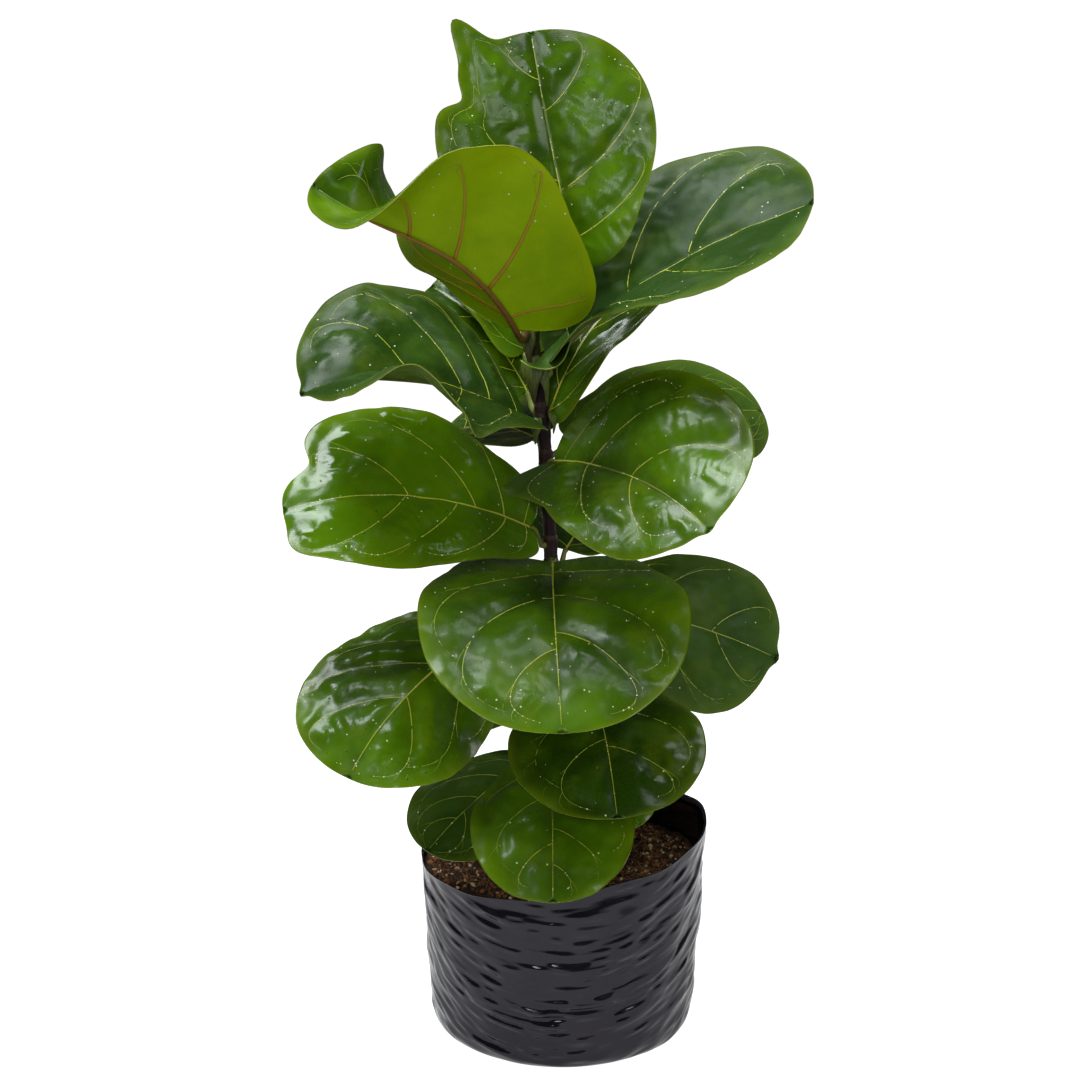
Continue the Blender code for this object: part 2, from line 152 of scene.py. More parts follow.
def finishSurface(bench, surface, color, rough=None, height=None, strength=0.5, distance=0.0005):
    bench.feed(surface.inputs["Base Color"], color)
    if rough is not None:
        bench.feed(surface.inputs["Roughness"], rough)
    if height is not None:
        bump = bench.put("Bump")
        for label, value in (("Strength", strength), ("Distance", distance), ("Height", height)):
            bench.feed(bump.inputs[label], value)
        bench.feed(surface.inputs["Normal"], bump.outputs["Normal"])


cameraView = {
    "place": (-0.017, -1.75, 0.85),
    "tilt": 15,          # degrees down from level
    "lens": 81.7,
}
studioLights = {
    # name: place, aimed at, size, watts, colour
    "rightTopPanel": ((0.55, -0.10, 2.00), (0.0, 0.0, 0.4), (0.6, 0.8), 10, (0.92, 0.97, 1.0)),
    "leftTopPanel": ((-0.62, 0.00, 1.90), (0.0, 0.0, 0.4), (0.9, 0.6), 35, (0.92, 0.97, 1.0)),
    "frontPanel": ((-0.45, -2.70, 1.35), (0.0, 0.0, 0.5), (0.8, 0.7), 17, (0.95, 0.98, 1.0)),
    "backPanel": ((1.90, 1.40, 0.75), (0.0, 0.0, 0.4), (0.9, 0.8), 9, (1.0, 1.0, 1.0)),
    "smallLamp": ((-0.85, -1.75, 1.30), (0.0, 0.0, 0.3), (0.10, 0.10), 2.2, (1.0, 1.0, 1.0)),
    "sidePanel": ((1.50, -1.20, 1.20), (0.0, 0.0, 0.3), (0.6, 1.0), 11, (1.0, 0.99, 0.97)),
}
roomLight = {"strength": 0.07, "seen": 1.0}      # on the plant, and as the camera sees it
whiteFloor = {
    "radius": 30,
    "tone": (0.40, 0.40, 0.40),
    "glow": 1.0,             # as the camera sees it
    "bounce": (0.62, 0.03),  # what it sends up near the plant and far from it
    "fade": (0.45, 0.75),    # metres from the middle, between which the bounce falls
}


def aimAt(obj, target):
    direction = Vector(target) - obj.location
    obj.rotation_euler = direction.to_track_quat("-Z", "Y").to_euler()


def addCamera():
    data = bpy.data.cameras.new("camera")
    data.lens = cameraView["lens"]
    camera = bpy.data.objects.new("camera", data)
    bpy.context.scene.collection.objects.link(camera)
    camera.location = cameraView["place"]
    camera.rotation_euler = (math.radians(90 - cameraView["tilt"]), 0, 0)
    bpy.context.scene.camera = camera
    bpy.context.scene.view_settings.view_transform = "Standard"


def addLights():
    for name, (place, target, size, watts, color) in studioLights.items():
        data = bpy.data.lights.new(name, "AREA")
        data.shape = "RECTANGLE"
        data.size, data.size_y = size
        data.energy = watts
        data.color = color
        lamp = bpy.data.objects.new(name, data)
        bpy.context.scene.collection.objects.link(lamp)
        lamp.location = place
        aimAt(lamp, target)


def addRoom():
    world = bpy.data.worlds.new("studio")
    world.use_nodes = True
    bench = NodeBench(world.node_tree)
    background = bench.nodes["Background"]
    bench.feed(background.inputs["Color"], (1.0, 1.0, 1.0))
    seen = bench.put("LightPath").outputs["Is Camera Ray"]
    strength = bench.remap(seen, 0, 1, roomLight["strength"], roomLight["seen"])
    bench.feed(background.inputs["Strength"], strength)
    bpy.context.scene.world = world


def addFloor():
    bpy.ops.mesh.primitive_circle_add(vertices=96, radius=whiteFloor["radius"], fill_type="NGON")
    floor = bpy.context.object
    floor.name = "studioFloor"
    material, bench, surface = newMaterial("paleFloor", Base_Color=whiteFloor["tone"], Roughness=1.0,
                                           Specular_IOR_Level=0.0, Emission_Color=(1.0, 1.0, 1.0))
    away = bench.put("VectorMath", operation="LENGTH")
    bench.feed(away.inputs[0], bench.put("TexCoord").outputs["Object"])
    bounce = bench.remap(away.outputs["Value"], *whiteFloor["fade"], *whiteFloor["bounce"])
    seen = bench.put("LightPath").outputs["Is Camera Ray"]
    bench.feed(surface.inputs["Emission Strength"], bench.remap(seen, 0, 1, bounce, whiteFloor["glow"]))
    floor.data.materials.append(material)


addCamera()
addLights()
addRoom()
addFloor()
print("studio ready")


hashFactors = {
    "axes": (73856093, 19349663, 83492791),
    "seed": 2654435761,
    "mix": ((15, 2246822519), (13, 3266489917)),
}


def smoothNoise(x, y, z=0.0, seed=0):
    # lattice noise from -1 to 1, with soft steps between whole numbers
    onAxis, wide = hashFactors["axes"], 0xFFFFFFFF
    x, y, z = np.broadcast_arrays(np.asarray(x, float), y, z)
    low = [np.floor(axis).astype(np.int64) for axis in (x, y, z)]
    part = [axis - start for axis, start in zip((x, y, z), low)]
    part = [p * p * (3 - 2 * p) for p in part]
    total = np.zeros(x.shape)
    for corner in range(8):
        step = (corner & 1, corner >> 1 & 1, corner >> 2 & 1)
        key = seed * hashFactors["seed"]
        for start, hop, factor in zip(low, step, onAxis):
            key = key ^ (start + hop) * factor
        key = key & wide
        for shift, factor in hashFactors["mix"]:
            key = (key ^ key >> shift) * factor & wide
        value = (key ^ key >> 16) / 0x7FFFFFFF - 1
        weight = np.ones(x.shape)
        for share, side in zip(part, step):
            weight = weight * (share if side else 1 - share)
        total += weight * value
    return total


def cloudNoise(x, y, z=0.0, seed=0, layers=3):
    total = sum(smoothNoise(x * 2 ** n, y * 2 ** n, z * 2 ** n, seed + n) / 2 ** n for n in range(layers))
    return total / (2 - 2.0 ** (1 - layers))


def smoothStep(low, high, value):
    share = np.clip((value - low) / (high - low), 0, 1)
    return share * share * (3 - 2 * share)


def unit(vectors):
    return vectors / np.maximum(np.linalg.norm(vectors, axis=-1, keepdims=True), 1e-12)


def gridFaces(rows, columns, start=0, wrap=False):
    # quads between neighbouring rows; wrap closes each row on itself
    row = np.arange(rows - 1)[:, None] * columns
    column = np.arange(columns if wrap else columns - 1)[None]
    after = (column + 1) % columns
    quads = np.stack([row + column, row + after, row + columns + after, row + columns + column], axis=-1)
    return quads.reshape(-1, 4) + start


class MeshParts:
    # gathers grids, tubes and domes into one mesh, with a value layer for the materials

    def __init__(self):
        self.points, self.faces, self.slots, self.tones = [], [], [], []
        self.count = 0

    def addFaces(self, faces, slot=0, start=0):
        self.faces.append(faces + start)
        self.slots.append(np.full(len(faces), slot))

    def add(self, points, faces, slot=0, tone=(0, 0, 0, 0)):
        # gives the number of the first new point
        points = np.asarray(points, float).reshape(-1, 3)
        start = self.count
        self.points.append(points)
        self.tones.append(np.broadcast_to(tone, (len(points), 4)))
        self.addFaces(faces, slot, start)
        self.count += len(points)
        return start

    def build(self, name, materials):
        points = np.concatenate(self.points)
        corners = np.concatenate([faces.ravel() for faces in self.faces])
        sizes = np.concatenate([np.full(len(faces), faces.shape[1]) for faces in self.faces])
        mesh = bpy.data.meshes.new(name)
        mesh.vertices.add(len(points))
        mesh.vertices.foreach_set("co", points.ravel())
        mesh.loops.add(len(corners))
        mesh.loops.foreach_set("vertex_index", corners.astype(np.int32))
        mesh.polygons.add(len(sizes))
        starts = np.concatenate([[0], np.cumsum(sizes)[:-1]])
        mesh.polygons.foreach_set("loop_start", starts.astype(np.int32))
        mesh.polygons.foreach_set("material_index", np.concatenate(self.slots).astype(np.int32))
        mesh.update(calc_edges=True)
        tones = mesh.attributes.new("tone", "FLOAT_COLOR", "POINT")
        tones.data.foreach_set("color", np.concatenate(self.tones).ravel())
        mesh.validate()
        mesh.shade_smooth()
        obj = bpy.data.objects.new(name, mesh)
        bpy.context.scene.collection.objects.link(obj)
        for material in materials:
            mesh.materials.append(material)
        return obj


def addClosed(parts, rows, ends, slot=0, tone=(0, 0, 0, 0), node=None):
    # closed skin from rings of points with one more point at each end; node lays it in that node's box
    count, sides = rows.shape[:2]
    points = np.concatenate([rows.reshape(-1, 3), ends])
    if node:
        scale, shift = boxMap(points, node)
        points = points * scale + shift
    ring = np.arange(sides)
    after, last, tip = (ring + 1) % sides, (count - 1) * sides, ring * 0 + count * sides
    start = parts.add(points, gridFaces(count, sides, wrap=True), slot, tone)
    parts.addFaces(np.stack([after, ring, tip], axis=-1), slot, start)
    parts.addFaces(np.stack([last + ring, last + after, tip + 1], axis=-1), slot, start)


def addTube(parts, path, radii, sides=8, slot=0, tone=(0, 0, 0, 0), flat=1.0, up=None):
    # closed tube along path; flat squeezes it along up, which may be one vector a point
    path = np.asarray(path, float)
    ahead = unit(np.gradient(path, axis=0))
    if up is None:
        guide = np.array([0.31, 0.17, 0.94])
        if abs(ahead[0] @ guide) > 0.9:
            guide = np.array([0.9, 0.3, 0.1])
        across = unit(np.cross(guide, ahead[0]))
        acrosses = [across]
        for direction in ahead[1:]:
            across = unit(across - direction * (across @ direction))
            acrosses.append(across)
        across = np.array(acrosses)
    else:
        across = unit(np.cross(up, ahead))
    rise = unit(np.cross(ahead, across))
    turn = np.linspace(0, 2 * np.pi, sides, endpoint=False)
    radii = np.asarray(radii, float)
    rings = (path[:, None] + across[:, None] * (radii[:, None] * np.cos(turn))[..., None]
             + rise[:, None] * (radii[:, None] * flat * np.sin(turn))[..., None])
    tones = np.asarray(tone, float)
    if tones.ndim == 2:
        tones = np.concatenate([np.repeat(tones, sides, axis=0), tones[:1], tones[-1:]])
    addClosed(parts, rings, [path[0], path[-1]], slot, tones)


def addSheet(parts, middle, thickness, slot=0, tone=(0, 0, 0, 0)):
    # closed thin sheet from a grid of points
    rows, columns = middle.shape[:2]
    count = rows * columns
    up = unit(np.cross(np.gradient(middle, axis=0), np.gradient(middle, axis=1))) * thickness / 2
    grid = gridFaces(rows, columns)
    order = np.arange(count).reshape(rows, columns)
    ring = np.concatenate([order[0, :-1], order[:-1, -1], order[-1, :0:-1], order[:0:-1, 0]])
    after = np.roll(ring, -1)
    rim = np.stack([ring, after, after + count, ring + count], axis=-1)
    tones = np.broadcast_to(tone, (rows, columns, 4)).reshape(-1, 4)
    faces = np.concatenate([grid[:, ::-1], grid + count, rim])
    parts.add(np.stack([middle + up, middle - up]), faces, slot, np.concatenate([tones, tones]))


def addDomes(parts, places, normals, radii, height, sides=8, rings=2, sink=0.1):
    # small domes standing on a surface: drops and specks
    for place, normal, radius in zip(places, normals, radii):
        across = unit(np.cross(normal, (0.37, 0.83, 0.41)))
        ahead = np.cross(normal, across)
        turn = np.linspace(0, 2 * np.pi, sides, endpoint=False)
        points = []
        for ring in range(rings):
            angle = ring / rings * np.pi / 2
            flatRing = across * np.cos(turn)[:, None] + ahead * np.sin(turn)[:, None]
            lift = (np.sin(angle) * height - sink) * radius
            points.append(place + flatRing * radius * np.cos(angle) + normal * lift)
        points.append((place + normal * radius * (height - sink))[None])
        faces = gridFaces(rings, sides, wrap=True)
        ring = np.arange(sides) + (rings - 1) * sides
        after = (np.arange(sides) + 1) % sides + (rings - 1) * sides
        start = parts.add(np.concatenate(points), faces)
        parts.addFaces(np.stack([ring, after, np.full(sides, rings * sides)], axis=-1), start=start)


def boxMap(points, node):
    # scale and shift, axis by axis, that lays these points in a node's box
    low, high = (np.array(corner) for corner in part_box(node))
    start, end = points.min(axis=0), points.max(axis=0)
    scale = (high - low) / (end - start)
    return scale, low - start * scale


def addPiece(parts, name, materials, slot, *nodes):
    piece = parts.build(name, materials)
    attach(piece, "root")
    if nodes:
        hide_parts(*nodes)


skinLook = {
    # each pattern: scale, detail, roughness, and the range of its values that is used
    "patches": (14, 3, 0.55, 0.34, 0.66),
    "olive": (26, 4, 0.6, 0.52, 0.72),
    "dust": (1100, 2, 0.5, 0.66, 0.82),
    "smears": (38, 4, 0.6, 0.35, 0.70),
    "veinTint": (120, 3, 0.6, 0.3, 0.7),
    "dustTone": (0.35, 0.42, 0.20),
    "patchShare": 0.9,
    "veinShare": -0.25,          # the blade is deeper in colour beside a vein
    "share": -0.42,
    "oliveShare": 0.35,
    "marginShare": 0.42,
    "netShare": 0.22,
    "dustShare": 0.10,
    "dullness": 0.26,
    "netCells": ((240, 0.08, 1.0), (650, 0.10, 0.5)),    # scale, line width and strength of each net
}


def patchOf(bench, name, start=0.0, end=1.0):
    scale, detail, rough, low, high = skinLook[name]
    return bench.remap(bench.noise(scale, detail, rough), low, high, start, end)


def leafSkinGroup():
    # uneven leaf colour with the leaf's shade shift, which is partly painted light and shade, a fine net of
    # veinlets and the pale margin
    look = skinLook
    group, bench = newGroup(
        "leafSkin",
        {"Deep": (0.01, 0.05, 0.005), "Light": (0.04, 0.13, 0.01), "Edge": (0.2, 0.3, 0.03), "Net": 0.3,
         "Rough": 0.3},
        {"Color": "NodeSocketColor", "Roughness": "NodeSocketFloat", "Height": "NodeSocketFloat"})
    given = bench.put("NodeGroupInput").outputs
    nearVein, nearMargin, shade, dull = bench.tone()
    share = bench.math("MULTIPLY_ADD", patchOf(bench, "patches"), look["patchShare"],
                       bench.math("MULTIPLY_ADD", nearVein, look["veinShare"], look["share"]))
    # shade moves the whole leaf between its deep and light colour: partly its own tone, partly painted
    # light and shade
    color = bench.blend(bench.clamp(bench.math("ADD", share, shade)), given["Deep"], given["Light"])
    olive = bench.math("MULTIPLY", patchOf(bench, "olive"), look["oliveShare"])
    outer = bench.math("MULTIPLY", bench.remap(nearMargin, 0.0, 0.9), look["marginShare"])
    color = bench.blend(bench.math("MAXIMUM", olive, outer), color, given["Edge"])
    nets = []
    for scale, width, strength in look["netCells"]:
        near = bench.remap(bench.cells(scale, "DISTANCE_TO_EDGE"), 0.0, width, 1.0, 0.0)
        nets.append(bench.math("MULTIPLY", near, strength))
    lines = bench.math("MULTIPLY", bench.math("MAXIMUM", *nets), given["Net"])
    color = bench.blend(bench.math("MULTIPLY", lines, look["netShare"]), color, given["Edge"])
    dust = bench.math("MULTIPLY", patchOf(bench, "dust"), look["dustShare"])
    color = bench.blend(dust, color, look["dustTone"])
    rough = bench.math("ADD", given["Rough"], patchOf(bench, "smears", -0.05, 0.14))
    rough = bench.math("MULTIPLY_ADD", dull, look["dullness"], rough)
    grain = bench.math("MULTIPLY", bench.noise(1300, 2, 0.5), 0.30)
    height = bench.math("SUBTRACT", grain, bench.math("MULTIPLY", lines, 0.6))
    finishGroup(bench, {"Color": color, "Roughness": rough, "Height": height})
    return group


def veinSkinGroup():
    # a vein's colour along its length: warm near the petiole, pale further out, then lost in the blade
    group, bench = newGroup(
        "veinSkin", {"Warm": (0.2, 0.09, 0.02), "Pale": (0.35, 0.42, 0.08), "Blade": (0.04, 0.12, 0.004)},
        {"Color": "NodeSocketColor", "Height": "NodeSocketFloat"})
    given = bench.put("NodeGroupInput").outputs
    warm, _, fade, _ = bench.tone()
    uneven = patchOf(bench, "veinTint", -0.12, 0.12)
    color = bench.blend(bench.clamp(bench.math("ADD", warm, uneven)), given["Pale"], given["Warm"])
    color = bench.blend(bench.clamp(bench.math("ADD", fade, uneven)), color, given["Blade"])
    finishGroup(bench, {"Color": color, "Height": bench.noise(900, 2, 0.5)})
    return group


leafSkin = leafSkinGroup()
veinSkin = veinSkinGroup()


def leafMaterial(name, deep, light, edge, net, rough, shine, coat, bump):
    material, bench, surface = newMaterial(name, Coat_Weight=coat, Coat_Roughness=0.08,
                                           Specular_IOR_Level=shine)
    skin = useGroup(bench, leafSkin, Deep=deep, Light=light, Edge=edge, Net=net, Rough=rough)
    finishSurface(bench, surface, skin["Color"], skin["Roughness"], skin["Height"], bump, 0.0003)
    return material


def veinMaterial(name, warm, pale, blade, rough):
    material, bench, surface = newMaterial(name, Roughness=rough, Specular_IOR_Level=0.3)
    skin = useGroup(bench, veinSkin, Warm=warm, Pale=pale, Blade=blade)
    finishSurface(bench, surface, skin["Color"], None, skin["Height"], 0.3, 0.0002)
    return material


leafFinish = {
    # name: deep, light and edge colour, then net, roughness, shine, coat and bump
    "leafTop": ((0.013, 0.040, 0.001), (0.070, 0.165, 0.001), (0.165, 0.235, 0.003),
                0.3, 0.16, 0.21, 0.05, 0.3),
    # leafDustyAndShaded: a duller, greyer leaf finish whose colours are also darker, as painted shade on
    # leaves that catch too much lamp light
    "leafDustyAndShaded": ((0.015, 0.043, 0.004), (0.050, 0.112, 0.010), (0.120, 0.170, 0.012),
                  0.3, 0.27, 0.10, 0.0, 0.3),
    "leafUnder": ((0.060, 0.105, 0.010), (0.095, 0.150, 0.014), (0.15, 0.20, 0.02),
                  0.6, 0.46, 0.3, 0.03, 0.5),
    "youngUnder": ((0.155, 0.260, 0.0005), (0.230, 0.360, 0.0005), (0.33, 0.41, 0.002),
                   0.5, 0.50, 0.08, 0.0, 0.5),
    "leafMargin": ((0.17, 0.24, 0.02), (0.28, 0.34, 0.04), (0.30, 0.36, 0.05),
                   0.0, 0.40, 0.3, 0.1, 0.2),
}
veinFinish = {
    # name: warm, pale, blade, roughness
    "topVein": ((0.50, 0.38, 0.020), (0.50, 0.54, 0.060), (0.080, 0.170, 0.004), 0.36),
    "underRib": ((0.13, 0.070, 0.015), (0.15, 0.20, 0.03), (0.10, 0.15, 0.015), 0.48),
    "youngStalk": ((0.040, 0.020, 0.008), (0.32, 0.145, 0.012), (0.20, 0.30, 0.002), 0.45),
    "youngRib": ((0.23, 0.085, 0.008), (0.34, 0.20, 0.010), (0.20, 0.30, 0.002), 0.45),
}
leafMaterials = {name: leafMaterial(name, *values) for name, values in leafFinish.items()}
leafMaterials.update({name: veinMaterial(name, *values) for name, values in veinFinish.items()})


bladeLook = {
    "thickness": 0.0007,
    "rows": (74, 110),           # base to tip, on a small and on a large blade
    "columns": (50, 72),         # across the whole blade
    "crowding": (1.15, 1.25),    # how far rows crowd towards the base and columns towards the margins
    "largeBlade": 0.17,          # a blade at least this long is a large one
    "quilt": 0.0022,             # how far the blade swells between its side veins
    "quiltWidth": 0.0090,        # distance from a vein over which it swells
    "groove": 0.0009,            # how deep the midrib lies in the blade
    "grooveWidth": 0.0032,
    "ripple": 0.00065,           # small creases that run away from each vein
    "rippleGap": 0.0085,
    "rippleReach": 0.016,
    "dent": 0.0019,              # broad uneven hollows
    "bubble": 0.00062,           # small swellings of the blade
    "bubbleGap": 0.004,          # how far they keep from a vein
    "patches": {"wander": 60, "ripple": 38, "dent": 34, "bubble": 105},     # how many in a metre
    "ruffle": 0.0012,
    "ruffleWaves": 3.5,
    "midribSpacing": 1.12,
    "marginSpacing": 0.70,
    "veinSweep": 1.35,
    "lobes": (0.06, 0.06),
    "lobeEnd": 0.32,             # share of the margin that the lobes take
    "fullness": 0.22,
    "roundness": 0.92,
    "waist": (0.05, 0.30, 0.10),     # depth, place and spread of the fiddle's waist
    "tipWidth": 0.03,
    "veinTint": 0.004,           # distances over which the skin's colour changes beside a vein and a margin
    "marginTint": 0.006,
}
stalkLook = {
    "heel": 0.0015, "gap": 0.0003, "petiole": 0.0025, "rib": 0.0017, "ribEnd": 0.0006, "reach": 0.86,
    "steps": (12, 34),           # along the petiole and along the midrib
    "bends": (0.30, 0.35),       # how far it runs straight at the stem and at the blade
}
veinLook = {
    # side, place it leaves the midrib, place it ends, how near it comes to the margin
    "ribs": ((1, 0.03, 0.30, 0.70), (1, 0.17, 0.70, 0.80), (1, 0.40, 0.88, 0.80), (1, 0.63, 0.95, 0.72),
             (-1, 0.04, 0.34, 0.72), (-1, 0.23, 0.76, 0.82), (-1, 0.48, 0.91, 0.78),
             (-1, 0.70, 0.96, 0.66)),
    "midrib": (0.00125, 0.00032),    # half widths where it starts and ends
    "side": (0.00055, 0.00018),
    "fork": (0.00022, 0.00009),
    "sideFade": (0.0, 0.65),         # how far a vein takes the blade's colour, at its root and its end
    "forkFade": (0.40, 0.90),
    "topRise": 0.26,                 # how proud a vein stands, as a share of its half width
    "underRise": 0.75,
    "steps": {"midrib": 44, "side": 25, "fork": 9},
    "forks": (0.42, 0.68),           # where a side vein forks
    "margin": 0.93,                  # how near the margin a fork comes
    "usualBlade": 0.18,              # veins are this thick on a blade of this length
    "usualLimits": (0.55, 1.05),
}
